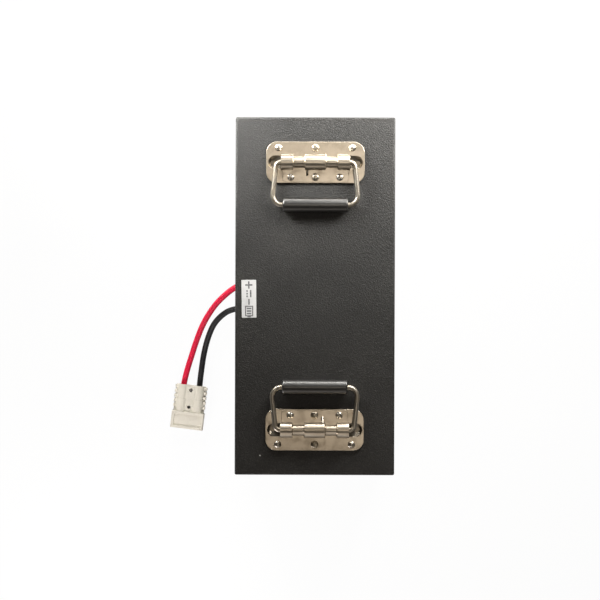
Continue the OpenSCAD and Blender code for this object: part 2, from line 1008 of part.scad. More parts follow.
module foam_pads() {
    pad_h = upper_z + cell_h - lower_z;
    color("#4a4d50")
        translate([0, 0, lower_z]) {
            for (side = [-1, 1])
                translate([cell_x - cell_w / 2, side * (inner_l - end_pad_t) / 2 - end_pad_t / 2, 0])
                    cube([cell_w, end_pad_t, pad_h]);
            translate([inner_w / 2 - side_pad_t, -row_l / 2, 0])
                cube([side_pad_t, row_l, pad_h]);
        }
}

// Places children at one place in a layer, counted along the box from its front end
module at_cell(place, upper) {
    translate([cell_x, (place + 0.5) * cell_pitch - (row_l + cell_gap) / 2, upper ? upper_z : lower_z])
        children();
}

// One prismatic cell with its two terminal pads and its vent
module cell(number) {
    at_cell(number % cells_per_layer, number >= cells_per_layer)
        color("#5d7fa3") {
            linear_extrude(cell_h)
                rounded_rect(cell_w, cell_t, cell_corner);
            for (side = [-1, 1])
                translate([side * terminal_x, 0, cell_h - sliver])
                    linear_extrude(terminal_h + sliver)
                        square([terminal_w, terminal_l], center = true);
            translate([0, 0, cell_h - sliver])
                cylinder(d = vent_d, h = vent_h + sliver);
        }
}

// A plate over a layer of cells, on two ribs that stand outside the rows of bars
module layer_plate(level, layer_top) {
    translate([cell_x, 0, level])
        linear_extrude(tray_t)
            square([cell_w, row_l], center = true);
    for (side = [-1, 1])
        translate([
            cell_x + side * (cell_w / 2 - rib_inset - rib_w / 2) - rib_w / 2,
            end_clear - row_l / 2,
            layer_top
        ])
            cube([rib_w, row_l - 2 * end_clear, level - layer_top + sliver]);
}

module layer_tray() {
    color("#d9d4c4")
        layer_plate(tray_z, lower_z + cell_h);
}

module top_board() {
    color("#2f6b4f")
        layer_plate(top_board_z, upper_z + cell_h);
}

// One bar between the terminals of two neighbouring cells
module bar(place, side, upper) {
    at_cell(place + 0.5, upper)
        translate([side * terminal_x, 0, cell_h + terminal_h])
            linear_extrude(busbar_t)
                rounded_rect(busbar_w, cell_pitch + 2 * bar_overlap, bar_corner);
}

// The bar from a layer's last terminal into the channel, with a fin for the lead's end
module end_tab(upper, fin_x) {
    at_cell(cells_per_layer - 1, upper)
        translate([-cell_x, -busbar_w / 2, cell_h + terminal_h]) {
            translate([fin_x - fin_w / 2, 0, 0])
                cube([cell_x - terminal_x + busbar_w / 2 - fin_x + fin_w / 2, busbar_w, busbar_t]);
            translate([fin_x - fin_w / 2, 0, -fin_h])
                cube([fin_w, busbar_t, fin_h + sliver]);
        }
}

module busbars() {
    color("#c77b43") {
        for (upper = [false, true]) {
            for (place = [0 : 2 : cells_per_layer - 2])
                bar(place, 1, upper);
            for (place = [1 : 2 : cells_per_layer - 3])
                bar(place, -1, upper);
        }
        end_tab(true, upper_tab[0]);
        end_tab(false, lower_tab[0]);
    }
}

module layer_link() {
    link_x = cell_side - channel_w / 2 + busbar_t;
    arm_l = cell_x - terminal_x + busbar_w / 2 - link_x;
    link_y = cell_pitch / 2 - (row_l + cell_gap) / 2 - busbar_w / 2;
    color("#c77b43")
        translate([link_x, link_y, 0]) {
            for (level = [lower_bars_z, upper_bars_z])
                translate([0, 0, level])
                    cube([arm_l, busbar_w, busbar_t]);
            translate([0, 0, lower_bars_z])
                cube([busbar_t, busbar_w, upper_bars_z + busbar_t - lower_bars_z]);
        }
}

module heat_plate() {
    color("#b4b7ba")
        translate([cell_x, 0, heat_plate_z])
            linear_extrude(heat_plate_t)
                rounded_rect(board_w, board_l, board_corner);
}

module management_board() {
    transistor = [transistor_w, transistor_l, transistor_h + sliver];
    column_x = board_w / 2 - transistor_inset;
    first_y = -(transistor_rows - 1) / 2 * transistor_pitch;
    color("#1f5a3a") {
        translate([cell_x, 0, circuit_z])
            linear_extrude(circuit_t)
                square([board_w, board_l], center = true);
        for (column = [-1, 1], row = [0 : transistor_rows - 1])
            translate([cell_x + column * column_x, first_y + row * transistor_pitch, transistor_z])
                translate([0, 0, transistor[2] / 2])
                    cube(transistor, center = true);
        for (lug = [output_lug, negative_lug])
            translate([lug[0], lug[1] - lug_w / 2, lug[2] - lug_h / 2])
                cube([lug_l + lug_overlap, lug_w, lug_h]);
    }
}

module positive_lead() {
    color("#c8171f")
        tube(positive_lead_route, lead_d / 2, tube_sides);
}

module negative_lead() {
    color("#1a1a1c")
        tube(negative_lead_route, lead_d / 2, tube_sides);
}

module output_lead() {
    color("#1a1a1c")
        tube(output_lead_route, lead_d / 2, tube_sides);
}

module balance_ribbon() {
    board_side = cell_x - board_w / 2;
    drop_x = cell_side - 2 * ribbon_t;
    color("#8a8f98")
        translate([0, -board_l / 2 + ribbon_w, 0])
            rotate([90, 0, 0])
                linear_extrude(ribbon_w) {
                    translate([board_side - ribbon_t, heat_plate_z])
                        square([ribbon_t, circuit_z + circuit_t - heat_plate_z]);
                    translate([drop_x, heat_plate_z])
                        square([board_side - drop_x, ribbon_t]);
                    translate([drop_x, lower_bars_z])
                        square([ribbon_t, heat_plate_z + ribbon_t - lower_bars_z]);
                }
}

case_tub();
lid();
lid_gasket();
lid_screws();
lid_weld_nuts();
rating_label();
rear_handle_plate();
rear_backing_plate();
rear_bail();
rear_grip();
rear_spring();
front_handle_plate();
front_backing_plate();
front_bail();
front_grip();
front_spring();
handle_rivets();
handle_screws();
handle_nuts();
positive_grommet();
negative_grommet();
positive_cable();
negative_cable();
plug_housing();
positive_contact();
negative_contact();
contact_springs();
floor_pad();
foam_pads();
layer_tray();
busbars();
layer_link();
top_board();
heat_plate();
management_board();
positive_lead();
negative_lead();
output_lead();
balance_ribbon();
for (i = [0 : 2 * cells_per_layer - 1])
    cell(i);
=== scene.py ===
"""Looks of a battery box: its finishes, leads, plug, sprung handles and label, with a camera and light.

Places are metres in the frame of the solids: X across the box, Y along it and Z up. The sizes of pieces
and of their grain are millimetres, turned into metres where they are used.
"""

import json
import logging
import math
from dataclasses import dataclass
from enum import Enum
from typing import Any, Callable, Sequence, Union

import bmesh
import bpy
import numpy as np
from mathutils import Vector
from mathutils.geometry import delaunay_2d_cdt
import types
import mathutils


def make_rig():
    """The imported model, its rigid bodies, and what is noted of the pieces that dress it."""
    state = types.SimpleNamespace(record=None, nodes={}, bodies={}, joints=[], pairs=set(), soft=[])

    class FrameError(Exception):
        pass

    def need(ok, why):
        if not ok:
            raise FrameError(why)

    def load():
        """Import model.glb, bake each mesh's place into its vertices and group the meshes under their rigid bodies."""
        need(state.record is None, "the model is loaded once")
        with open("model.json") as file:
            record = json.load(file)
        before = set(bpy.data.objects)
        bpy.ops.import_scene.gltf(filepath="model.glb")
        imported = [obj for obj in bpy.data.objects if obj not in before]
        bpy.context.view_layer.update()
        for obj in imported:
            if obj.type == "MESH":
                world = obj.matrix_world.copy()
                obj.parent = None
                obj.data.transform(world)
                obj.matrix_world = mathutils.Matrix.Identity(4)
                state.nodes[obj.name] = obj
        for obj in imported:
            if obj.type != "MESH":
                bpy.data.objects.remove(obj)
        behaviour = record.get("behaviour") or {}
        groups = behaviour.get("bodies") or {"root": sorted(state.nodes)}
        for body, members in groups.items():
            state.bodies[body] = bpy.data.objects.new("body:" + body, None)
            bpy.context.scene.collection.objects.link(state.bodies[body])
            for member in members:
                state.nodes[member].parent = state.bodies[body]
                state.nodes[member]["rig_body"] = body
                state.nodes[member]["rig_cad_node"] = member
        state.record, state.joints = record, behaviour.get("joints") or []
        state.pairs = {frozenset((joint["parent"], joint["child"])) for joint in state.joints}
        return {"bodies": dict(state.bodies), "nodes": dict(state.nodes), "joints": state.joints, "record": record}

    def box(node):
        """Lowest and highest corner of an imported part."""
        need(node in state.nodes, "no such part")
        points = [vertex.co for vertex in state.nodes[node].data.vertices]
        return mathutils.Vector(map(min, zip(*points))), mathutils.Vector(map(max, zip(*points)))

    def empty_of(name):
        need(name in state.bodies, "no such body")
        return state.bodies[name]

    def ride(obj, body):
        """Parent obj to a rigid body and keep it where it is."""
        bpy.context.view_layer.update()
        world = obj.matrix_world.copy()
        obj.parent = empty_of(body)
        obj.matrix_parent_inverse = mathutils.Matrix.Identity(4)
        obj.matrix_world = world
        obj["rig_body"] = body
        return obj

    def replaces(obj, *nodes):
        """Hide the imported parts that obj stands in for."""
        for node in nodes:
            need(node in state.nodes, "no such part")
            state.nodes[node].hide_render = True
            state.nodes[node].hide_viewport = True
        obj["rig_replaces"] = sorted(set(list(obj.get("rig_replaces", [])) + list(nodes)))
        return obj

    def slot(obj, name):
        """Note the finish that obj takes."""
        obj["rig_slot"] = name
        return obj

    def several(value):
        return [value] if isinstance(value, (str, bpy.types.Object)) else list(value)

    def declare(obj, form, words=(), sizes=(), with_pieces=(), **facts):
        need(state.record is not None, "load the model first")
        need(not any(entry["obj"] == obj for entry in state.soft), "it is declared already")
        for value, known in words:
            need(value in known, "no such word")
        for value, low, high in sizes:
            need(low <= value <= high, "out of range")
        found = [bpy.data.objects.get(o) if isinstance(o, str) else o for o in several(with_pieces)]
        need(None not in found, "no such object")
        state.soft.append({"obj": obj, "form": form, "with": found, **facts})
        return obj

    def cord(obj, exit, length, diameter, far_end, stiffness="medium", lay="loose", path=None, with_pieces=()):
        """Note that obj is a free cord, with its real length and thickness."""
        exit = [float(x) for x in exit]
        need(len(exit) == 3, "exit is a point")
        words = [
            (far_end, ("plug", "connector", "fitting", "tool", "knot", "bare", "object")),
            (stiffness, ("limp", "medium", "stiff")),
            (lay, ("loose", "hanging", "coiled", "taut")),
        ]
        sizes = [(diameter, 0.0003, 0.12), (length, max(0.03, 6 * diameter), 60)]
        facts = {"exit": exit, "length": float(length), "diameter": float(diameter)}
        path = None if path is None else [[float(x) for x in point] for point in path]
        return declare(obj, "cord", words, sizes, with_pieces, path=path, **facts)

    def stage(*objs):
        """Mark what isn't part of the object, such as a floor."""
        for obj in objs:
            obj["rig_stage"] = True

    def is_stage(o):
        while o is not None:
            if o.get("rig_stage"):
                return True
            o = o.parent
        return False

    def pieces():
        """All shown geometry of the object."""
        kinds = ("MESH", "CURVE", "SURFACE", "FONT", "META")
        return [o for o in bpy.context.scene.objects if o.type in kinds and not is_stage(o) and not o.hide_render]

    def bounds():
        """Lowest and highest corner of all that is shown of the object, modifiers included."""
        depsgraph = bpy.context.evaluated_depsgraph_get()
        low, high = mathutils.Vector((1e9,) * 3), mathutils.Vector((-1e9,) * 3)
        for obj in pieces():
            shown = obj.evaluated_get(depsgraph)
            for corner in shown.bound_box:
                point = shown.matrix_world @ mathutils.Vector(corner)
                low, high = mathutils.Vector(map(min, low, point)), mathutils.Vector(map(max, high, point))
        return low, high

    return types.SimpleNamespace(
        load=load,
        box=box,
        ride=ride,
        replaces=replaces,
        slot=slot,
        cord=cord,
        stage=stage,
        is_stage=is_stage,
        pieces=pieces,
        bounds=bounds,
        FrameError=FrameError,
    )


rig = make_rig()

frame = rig.load()
CAD_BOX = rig.bounds()
LOG = logging.getLogger("battery_box")
MM = 0.001
MERGE_M = 2e-6

Array = np.ndarray
Colour = tuple[float, float, float]
Place = tuple[float, float, float]
Operand = Union["Socket", float]


class Body(Enum):
    """The bodies that pieces ride on."""

    BOX = "box"
    REAR_HANDLE = "rear_handle"
    FRONT_HANDLE = "front_handle"


def operator(operation: str, swapped: bool = False) -> Callable[["Socket", Operand], "Socket"]:
    """Makes a method that joins a value and another in a Math node.

    Args:
        operation: the node's operation.
        swapped: puts the other value first.

    Returns:
        The method.
    """

    def joined(this: "Socket", other: Operand) -> "Socket":
        """This value and another, joined by the operation."""
        first, second = (other, this) if swapped else (this, other)
        return this.shader.math(operation, first, second)

    return joined


class Socket:
    """One output of a shader node. Arithmetic on it adds Math nodes."""

    def __init__(self, shader: "Shader", output: bpy.types.NodeSocket) -> None:
        """Wraps an output of a node of the shader."""
        self.shader = shader
        self.output = output

    def __abs__(self) -> "Socket":
        """This value without its sign."""
        return self.shader.math("ABSOLUTE", self)

    __add__ = __radd__ = operator("ADD")
    __mul__ = __rmul__ = operator("MULTIPLY")
    __sub__ = operator("SUBTRACT")
    __rsub__ = operator("SUBTRACT", swapped=True)
    __lt__ = operator("LESS_THAN")
    higher = operator("MAXIMUM")


class Shader:
    """The node tree of one material."""

    def __init__(self, name: str) -> None:
        """Starts an empty material of that name."""
        self.material = bpy.data.materials.new(name)
        self.start(self.material, "ShaderNodeOutputMaterial")

    def start(self, owner: bpy.types.Material | bpy.types.World, ending: str) -> None:
        """Empties the owner's tree and adds the node that ends it.

        Args:
            owner: the material or the world.
            ending: the type of that node.
        """
        owner.use_nodes = True
        self.tree = owner.node_tree
        self.tree.nodes.clear()
        self.output = self.tree.nodes.new(ending)

    def node(
        self,
        kind: str,
        settings: dict[str, Any] | None = None,
        inputs: dict[Any, Any] | None = None,
        output: int = 0,
    ) -> Socket:
        """Adds any node.

        Args:
            kind: the node's type.
            settings: its own settings, set first; "stops" are a smooth ramp's places and greys.
            inputs: a value or a link for each named or numbered socket.
            output: the number of the output to hand back.

        Returns:
            That output.
        """
        made = self.tree.nodes.new(kind)
        for key, value in (settings or {}).items():
            if key == "stops":
                made.color_ramp.interpolation = "EASE"
                for element, (place, grey) in zip(made.color_ramp.elements, value):
                    element.position, element.color = place, (grey, grey, grey, 1.0)
            else:
                setattr(made, key, value)
        for key, value in (inputs or {}).items():
            if isinstance(value, Socket):
                self.tree.links.new(value.output, made.inputs[key])
            else:
                made.inputs[key].default_value = value
        return Socket(self, made.outputs[output])

    def math(self, operation: str, first: Operand, second: Operand = 0.0) -> Socket:
        """A Math node on one or two values."""
        return self.node("ShaderNodeMath", {"operation": operation}, {0: first, 1: second})

    def mix(self, factor: Operand, first: Any, second: Any) -> Socket:
        """A colour or link between two others: a factor of 0 gives the first and 1 the second."""
        ends = [value if isinstance(value, Socket) else (*value, 1.0) for value in (first, second)]
        return self.node("ShaderNodeMix", {"data_type": "RGBA"}, {0: factor, 6: ends[0], 7: ends[1]}, 2)

    def mapped(self, middle: Sequence[float], turn: float, unit: Sequence[float]) -> Socket:
        """Object coordinates about a middle, turned about Z and measured in a unit along each axis.

        Args:
            middle: the new origin, in metres.
            turn: the turn about Z, in radians.
            unit: the length of one step along each axis, in metres.

        Returns:
            The new coordinates.
        """
        place = self.node("ShaderNodeTexCoord", output=3)
        inputs = {"Vector": place, "Location": middle, "Rotation": (0, 0, turn), "Scale": unit}
        return self.node("ShaderNodeMapping", {"vector_type": "TEXTURE"}, inputs)

    def axes(self, vector: Socket) -> tuple[Socket, Socket, Socket]:
        """The three parts of a vector."""
        split = self.node("ShaderNodeSeparateXYZ", {}, {0: vector}).output.node
        return tuple(Socket(self, output) for output in split.outputs)

    def noise(self, size_mm: float | Sequence[float], detail: float = 3.0, lean: float = 0.5) -> Socket:
        """Smooth noise from about 0.3 to 0.7.

        Args:
            size_mm: the size of its lumps, or their size along each axis.
            detail: the number of finer layers.
            lean: the weight of the finer layers.

        Returns:
            The noise value.
        """
        sizes = (size_mm,) * 3 if isinstance(size_mm, (int, float)) else size_mm
        vector = self.mapped((0, 0, 0), 0.0, [size * MM for size in sizes])
        inputs = {"Vector": vector, "Scale": 1.0, "Detail": detail, "Roughness": lean}
        return self.node("ShaderNodeTexNoise", {}, inputs)

    def ramp(self, value: Socket, low: float, high: float) -> Socket:
        """Zero below the low value and one above the high one, with a smooth rise between."""
        return self.node("ShaderNodeValToRGB", {"stops": [(low, 0.0), (high, 1.0)]}, {0: value})

    def bump(self, height: Socket, depth_mm: float, under: Socket | None = None) -> Socket:
        """A bumped normal.

        Args:
            height: the height, from 0 to 1.
            depth_mm: the depth between those two heights.
            under: a normal that this one is laid on.

        Returns:
            The normal.
        """
        inputs = {"Strength": 1.0, "Distance": depth_mm * MM, "Height": height}
        if under is not None:
            inputs["Normal"] = under
        return self.node("ShaderNodeBump", {}, inputs)

    def ray(self, kind: str) -> Socket:
        """One for a ray of that kind, named as on Light Path, else zero."""
        path = self.node("ShaderNodeLightPath").output.node
        return Socket(self, path.outputs[kind])

    def end(self, surface: Socket) -> None:
        """Links a surface to the node that ends the tree."""
        self.tree.links.new(surface.output, self.output.inputs["Surface"])

    def surface(self, **sockets: Any) -> bpy.types.Material:
        """Ends the tree in a Principled surface.

        Args:
            sockets: its values and links, named as its sockets are, with low lines for spaces.

        Returns:
            The finished material.
        """
        inputs = {
            word.replace("_", " ").title().replace("Ior", "IOR"): value for word, value in sockets.items()
        }
        self.end(self.node("ShaderNodeBsdfPrincipled", {}, inputs))
        return self.material


class Sky(Shader):
    """The node tree of the world."""

    def __init__(self, name: str) -> None:
        """Starts an empty world of that name."""
        self.world = bpy.data.worlds.new(name)
        self.start(self.world, "ShaderNodeOutputWorld")


@dataclass(frozen=True)
class PowderCoat:
    """Fine-textured black powder coat on steel sheet, with dust in its grain and a small chip."""

    name: str = "powder_coat"
    colour: Colour = (0.0060, 0.0056, 0.0051)
    dust: Colour = (0.030, 0.028, 0.0252)
    bare: Colour = (0.70, 0.70, 0.68)
    roughness: float = 0.52
    refraction: float = 1.5
    specular: float = 0.64
    pebble_mm: float = 1.35
    pebble_depth: float = 0.54
    grain_mm: float = 0.5
    grain_depth: float = 0.12
    cloud_mm: float = 60.0
    chip: Place = (-55.3, -161.7, 252.0)
    chip_mm: float = 0.6
    chip_ragged: float = 1.2

    def material(self) -> bpy.types.Material:
        """Builds the finish.

        Returns:
            The material.
        """
        shader = Shader(self.name)
        pebble = shader.noise(self.pebble_mm, 4.0, 0.6)
        grain = shader.noise(self.grain_mm, 2.0)
        cloud = shader.noise(self.cloud_mm, 4.0)
        chip_place = shader.mapped([value * MM for value in self.chip], 0.0, (MM, MM, MM))
        far = shader.node("ShaderNodeVectorMath", {"operation": "LENGTH"}, {0: chip_place}, 1)
        chip = (far + (pebble - 0.5) * self.chip_ragged) < self.chip_mm
        dusty = shader.ramp(pebble * 0.7 + cloud * 0.3, 0.45, 0.75)
        colour = shader.mix(chip, shader.mix(dusty, self.colour, self.dust), self.bare)
        return shader.surface(
            base_color=colour,
            roughness=self.roughness + (cloud - 0.5) * 0.10 + (grain - 0.5) * 0.12,
            normal=shader.bump(pebble, self.pebble_depth, shader.bump(grain, self.grain_depth)),
            ior=self.refraction,
            specular_ior_level=self.specular,
        )


@dataclass(frozen=True)
class PlatedSteel:
    """Plated steel with a drawn grain, smudges and spots of tarnish."""

    name: str
    colour: Colour
    tarnish: Colour
    roughness: float
    grain_mm: tuple[float, float, float] = (14.0, 0.22, 0.5)
    grain_depth: float = 0.006
    wave_mm: float = 9.0
    wave_depth: float = 0.02
    smudge_mm: float = 9.0
    spot_mm: float = 1.6

    def material(self) -> bpy.types.Material:
        """Builds the finish.

        Returns:
            The material.
        """
        shader = Shader(self.name)
        grain = shader.noise(self.grain_mm, 3.0, 0.6)
        smudge = shader.ramp(shader.noise(self.smudge_mm, 4.0, 0.6), 0.42, 0.72)
        spots = shader.ramp(shader.noise(self.spot_mm, 3.0), 0.60, 0.72)
        wave = shader.bump(shader.noise(self.wave_mm, 1.0), self.wave_depth)
        return shader.surface(
            base_color=shader.mix(smudge * 0.45 + spots * 0.20, self.colour, self.tarnish),
            metallic=1.0,
            roughness=self.roughness + (grain - 0.5) * 0.12 + smudge * 0.06,
            normal=shader.bump(grain, self.grain_depth, wave),
        )


@dataclass(frozen=True)
class Rubber:
    """Black rubber with fine turned rings, a bloom of dust and, if wanted, a satin skin."""

    name: str
    colour: Colour
    dust: Colour
    roughness: float
    ring_mm: tuple[float, float, float] = (0.55, 9.0, 9.0)
    ring_depth: float = 0.10
    grain_mm: float = 0.4
    grain_depth: float = 0.02
    bloom_mm: float = 7.0
    specular: float = 0.5
    skin: float = 0.0
    skin_roughness: float = 0.33
    skin_refraction: float = 1.75

    def material(self) -> bpy.types.Material:
        """Builds the finish.

        Returns:
            The material.
        """
        shader = Shader(self.name)
        rings = shader.noise(self.ring_mm, 2.0, 0.6)
        grain = shader.noise(self.grain_mm, 2.0)
        bloom = shader.ramp(shader.noise(self.bloom_mm, 4.0, 0.6), 0.48, 0.75)
        return shader.surface(
            base_color=shader.mix(bloom * 0.6 + rings * 0.3, self.colour, self.dust),
            roughness=self.roughness + (rings - 0.5) * 0.18 + (bloom - 0.5) * 0.08,
            normal=shader.bump(rings, self.ring_depth, shader.bump(grain, self.grain_depth)),
            specular_ior_level=self.specular,
            coat_weight=self.skin,
            coat_roughness=self.skin_roughness,
            coat_ior=self.skin_refraction,
        )


@dataclass(frozen=True)
class Sheath:
    """Soft cable sheath, smooth with faint pulls and handling marks."""

    name: str
    colour: Colour
    worn: Colour
    roughness: float = 0.58
    specular: float = 0.35
    pull_mm: float = 3.0
    pull_depth: float = 0.05
    grain_mm: float = 0.35
    grain_depth: float = 0.012
    mark_mm: float = 11.0

    def material(self) -> bpy.types.Material:
        """Builds the finish.

        Returns:
            The material.
        """
        shader = Shader(self.name)
        pulls = shader.noise(self.pull_mm, 3.0)
        grain = shader.noise(self.grain_mm, 2.0)
        marks = shader.ramp(shader.noise(self.mark_mm, 4.0, 0.6), 0.45, 0.75)
        return shader.surface(
            base_color=shader.mix(marks * 0.5 + (grain - 0.5) * 0.3, self.colour, self.worn),
            roughness=self.roughness + (marks - 0.5) * 0.12 + (grain - 0.5) * 0.10,
            normal=shader.bump(pulls, self.pull_depth, shader.bump(grain, self.grain_depth)),
            specular_ior_level=self.specular,
        )


@dataclass(frozen=True)
class MouldedPlastic:
    """Moulded plastic with a spark-eroded grain, flow marks and grime."""

    name: str
    colour: Colour
    grime: Colour
    roughness: float = 0.5
    grain_mm: float = 0.35
    grain_depth: float = 0.02
    flow_mm: tuple[float, float, float] = (6.0, 16.0, 6.0)
    spot_mm: float = 2.2

    def material(self) -> bpy.types.Material:
        """Builds the finish.

        Returns:
            The material.
        """
        shader = Shader(self.name)
        grain = shader.noise(self.grain_mm, 3.0)
        flow = shader.ramp(shader.noise(self.flow_mm, 3.0), 0.40, 0.75)
        spots = shader.ramp(shader.noise(self.spot_mm, 4.0, 0.6), 0.58, 0.74)
        return shader.surface(
            base_color=shader.mix(flow * 0.35 + spots * 0.25, self.colour, self.grime),
            roughness=self.roughness + (grain - 0.5) * 0.15 + flow * 0.06,
            normal=shader.bump(grain, self.grain_depth),
        )


@dataclass(frozen=True)
class PlainMetal:
    """Bare sheet or cast metal with a rolled grain and dull patches."""

    name: str
    colour: Colour
    dull: Colour
    roughness: float
    grain_mm: tuple[float, float, float] = (0.4, 12.0, 12.0)
    grain_depth: float = 0.01
    patch_mm: float = 14.0

    def material(self) -> bpy.types.Material:
        """Builds the finish.

        Returns:
            The material.
        """
        shader = Shader(self.name)
        grain = shader.noise(self.grain_mm, 3.0, 0.6)
        patches = shader.ramp(shader.noise(self.patch_mm, 4.0, 0.6), 0.42, 0.70)
        return shader.surface(
            base_color=shader.mix(patches * 0.6, self.colour, self.dull),
            metallic=1.0,
            roughness=self.roughness + (grain - 0.5) * 0.2 + patches * 0.08,
            normal=shader.bump(grain, self.grain_depth),
        )


@dataclass(frozen=True)
class LabelFilm:
    """Satin white film with generic battery marks: plus, direct current, minus and a charge gauge."""

    middle: Place
    turn: float
    name: str = "label_film"
    colour: Colour = (0.64, 0.64, 0.645)
    shade: Colour = (0.55, 0.55, 0.555)
    ink: Colour = (0.055, 0.057, 0.062)
    roughness: float = 0.45
    ripple_mm: float = 3.0
    ripple_depth: float = 0.02
    wear_mm: float = 0.5
    shade_mm: float = 8.0
    stroke: float = 1.5

    def bars(self) -> list[tuple[float, float, float, float]]:
        """The inked bars: place across and along the label, and width and length, in millimetres.

        Returns:
            One row for each bar.
        """
        plus_y, current_y, minus_y, gauge_y = 14.0, 5.2, -3.2, -12.4
        glyph, line = 7.4, 1.1
        plus = [(0.0, plus_y, glyph, self.stroke), (0.0, plus_y, self.stroke, glyph)]
        dashes = [(-1.8, current_y + step * 2.7, self.stroke, 1.7) for step in (-1, 0, 1)]
        current = [(1.8, current_y, self.stroke, glyph), *dashes]
        minus = [(0.0, minus_y, self.stroke, 6.0)]
        sides = [(side * 3.6, gauge_y, line, 10.4) for side in (-1, 1)]
        ends = [(0.0, gauge_y + side * 4.8, 8.3, line) for side in (-1, 1)]
        charge = [(0.0, gauge_y + step * 2.6, 4.6, 1.5) for step in (-1, 0, 1)]
        return plus + current + minus + sides + ends + charge + [(0.0, gauge_y - 5.9, 3.6, line)]

    def material(self) -> bpy.types.Material:
        """Builds the finish.

        Returns:
            The material.
        """
        shader = Shader(self.name)
        across, along, _ = shader.axes(shader.mapped(self.middle, self.turn, (MM, MM, MM)))
        inked: Operand = 0.0
        for x, y, width, length in self.bars():
            bar = (abs(across - x) < width / 2) * (abs(along - y) < length / 2)
            inked = bar.higher(inked)
        wear = shader.ramp(shader.noise(self.wear_mm, 3.0), 0.42, 0.60)
        shaded = shader.ramp(shader.noise(self.shade_mm, 4.0), 0.42, 0.72)
        film = shader.mix(shaded, self.colour, self.shade)
        return shader.surface(
            base_color=shader.mix(inked * (0.72 + wear * 0.28), film, self.ink),
            roughness=self.roughness + (wear - 0.5) * 0.1,
            normal=shader.bump(shader.noise(self.ripple_mm, 2.0), self.ripple_depth),
        )


class Finishes:
    """Every finish of the box, made once, under the record's slot names."""

    def __init__(self, label: LabelFilm) -> None:
        """Builds the materials.

        Args:
            label: the label's finish, which depends on the label's place.
        """
        soot = (0.35, 0.29, 0.21)
        even = (2.0, 2.0, 2.0)
        finishes = [
            PlatedSteel("handle_steel", (0.53, 0.47, 0.385), soot, 0.32),
            # The backing's steel and tarnish are much darker than the pressed plate's, so the dishes in the recessed
            # windows look shaded: painted shade.
            PlatedSteel("backing_steel", (0.22, 0.195, 0.158), (0.11, 0.095, 0.075), 0.32),
            PlatedSteel("bail_steel", (0.37, 0.337, 0.285), soot, 0.37, (30.0, 30.0, 30.0)),
            PlatedSteel("spring_steel", (0.46, 0.42, 0.36), soot, 0.28, even),
            PlatedSteel("rivet_steel", (0.46, 0.41, 0.33), soot, 0.36, even),
            PlatedSteel("screw_steel", (0.60, 0.56, 0.50), soot, 0.34, even),
            PlatedSteel("zinc_nut", (0.66, 0.66, 0.64), soot, 0.30, even),
            PlatedSteel("black_screw", (0.07, 0.07, 0.07), (0.03, 0.03, 0.03), 0.38, even),
            PlainMetal("contact_silver", (0.80, 0.78, 0.74), (0.55, 0.51, 0.45), 0.28),
            PlainMetal("leaf_steel", (0.62, 0.62, 0.61), (0.45, 0.44, 0.42), 0.30),
            PlainMetal("copper_bar", (0.72, 0.34, 0.17), (0.40, 0.17, 0.09), 0.30),
            PlainMetal("heat_aluminium", (0.72, 0.73, 0.74), (0.55, 0.56, 0.57), 0.36),
            Rubber(
                "grip_rubber", (0.0022, 0.0018, 0.0013), (0.008, 0.007, 0.0055), 0.48, specular=0.2, skin=1.0
            ),
            Rubber("grommet_rubber", (0.012, 0.012, 0.012), (0.04, 0.04, 0.04), 0.55, (1.5, 1.5, 1.5)),
            Rubber("gasket_rubber", (0.02, 0.02, 0.02), (0.06, 0.06, 0.06), 0.75, (0.8, 0.8, 0.8)),
            Sheath("red_sheath", (0.78, 0.012, 0.056), (0.72, 0.020, 0.066)),
            Sheath("black_sheath", (0.011, 0.011, 0.012), (0.026, 0.026, 0.027)),
            MouldedPlastic("plug_plastic", (0.80, 0.77, 0.67), (0.66, 0.63, 0.53), 0.48),
            MouldedPlastic("tray_plastic", (0.62, 0.58, 0.48), (0.50, 0.46, 0.37), 0.6),
            MouldedPlastic("circuit_board", (0.015, 0.11, 0.05), (0.01, 0.07, 0.035), 0.35),
            MouldedPlastic("ribbon_plastic", (0.34, 0.36, 0.39), (0.26, 0.28, 0.3), 0.5),
            MouldedPlastic("pad_foam", (0.07, 0.075, 0.08), (0.045, 0.05, 0.055), 0.9, 0.9, 0.25),
            MouldedPlastic("cell_case", (0.05, 0.16, 0.36), (0.04, 0.12, 0.28), 0.32),
            label,
        ]
        self.materials = {"case_paint": PowderCoat().material()}
        self.materials.update((finish.name, finish.material()) for finish in finishes)

    def of(self, slot: str) -> bpy.types.Material:
        """The material of a slot."""
        return self.materials[slot]


@dataclass
class Surface:
    """Points, and blocks of faces with the same number of corners, as whole arrays."""

    points: Array
    faces: list[Array]

    def moved(self, origin: Sequence[float], turn: float = 0.0) -> "Surface":
        """A copy in metres, turned about Z and then moved.

        Args:
            origin: the new place of its origin, in metres.
            turn: the turn, in radians.

        Returns:
            The placed copy.
        """
        cos, sin = math.cos(turn), math.sin(turn)
        spin = np.array([[cos, -sin, 0.0], [sin, cos, 0.0], [0.0, 0.0, 1.0]])
        return Surface(self.points * MM @ spin.T + np.asarray(origin, float), self.faces)

    @staticmethod
    def joined(surfaces: Sequence["Surface"]) -> "Surface":
        """Several surfaces as one.

        Args:
            surfaces: the surfaces.

        Returns:
            One surface with all their points and faces.
        """
        starts = np.cumsum([0] + [len(surface.points) for surface in surfaces])
        faces = [block + start for surface, start in zip(surfaces, starts) for block in surface.faces]
        return Surface(np.vstack([surface.points for surface in surfaces]), faces)


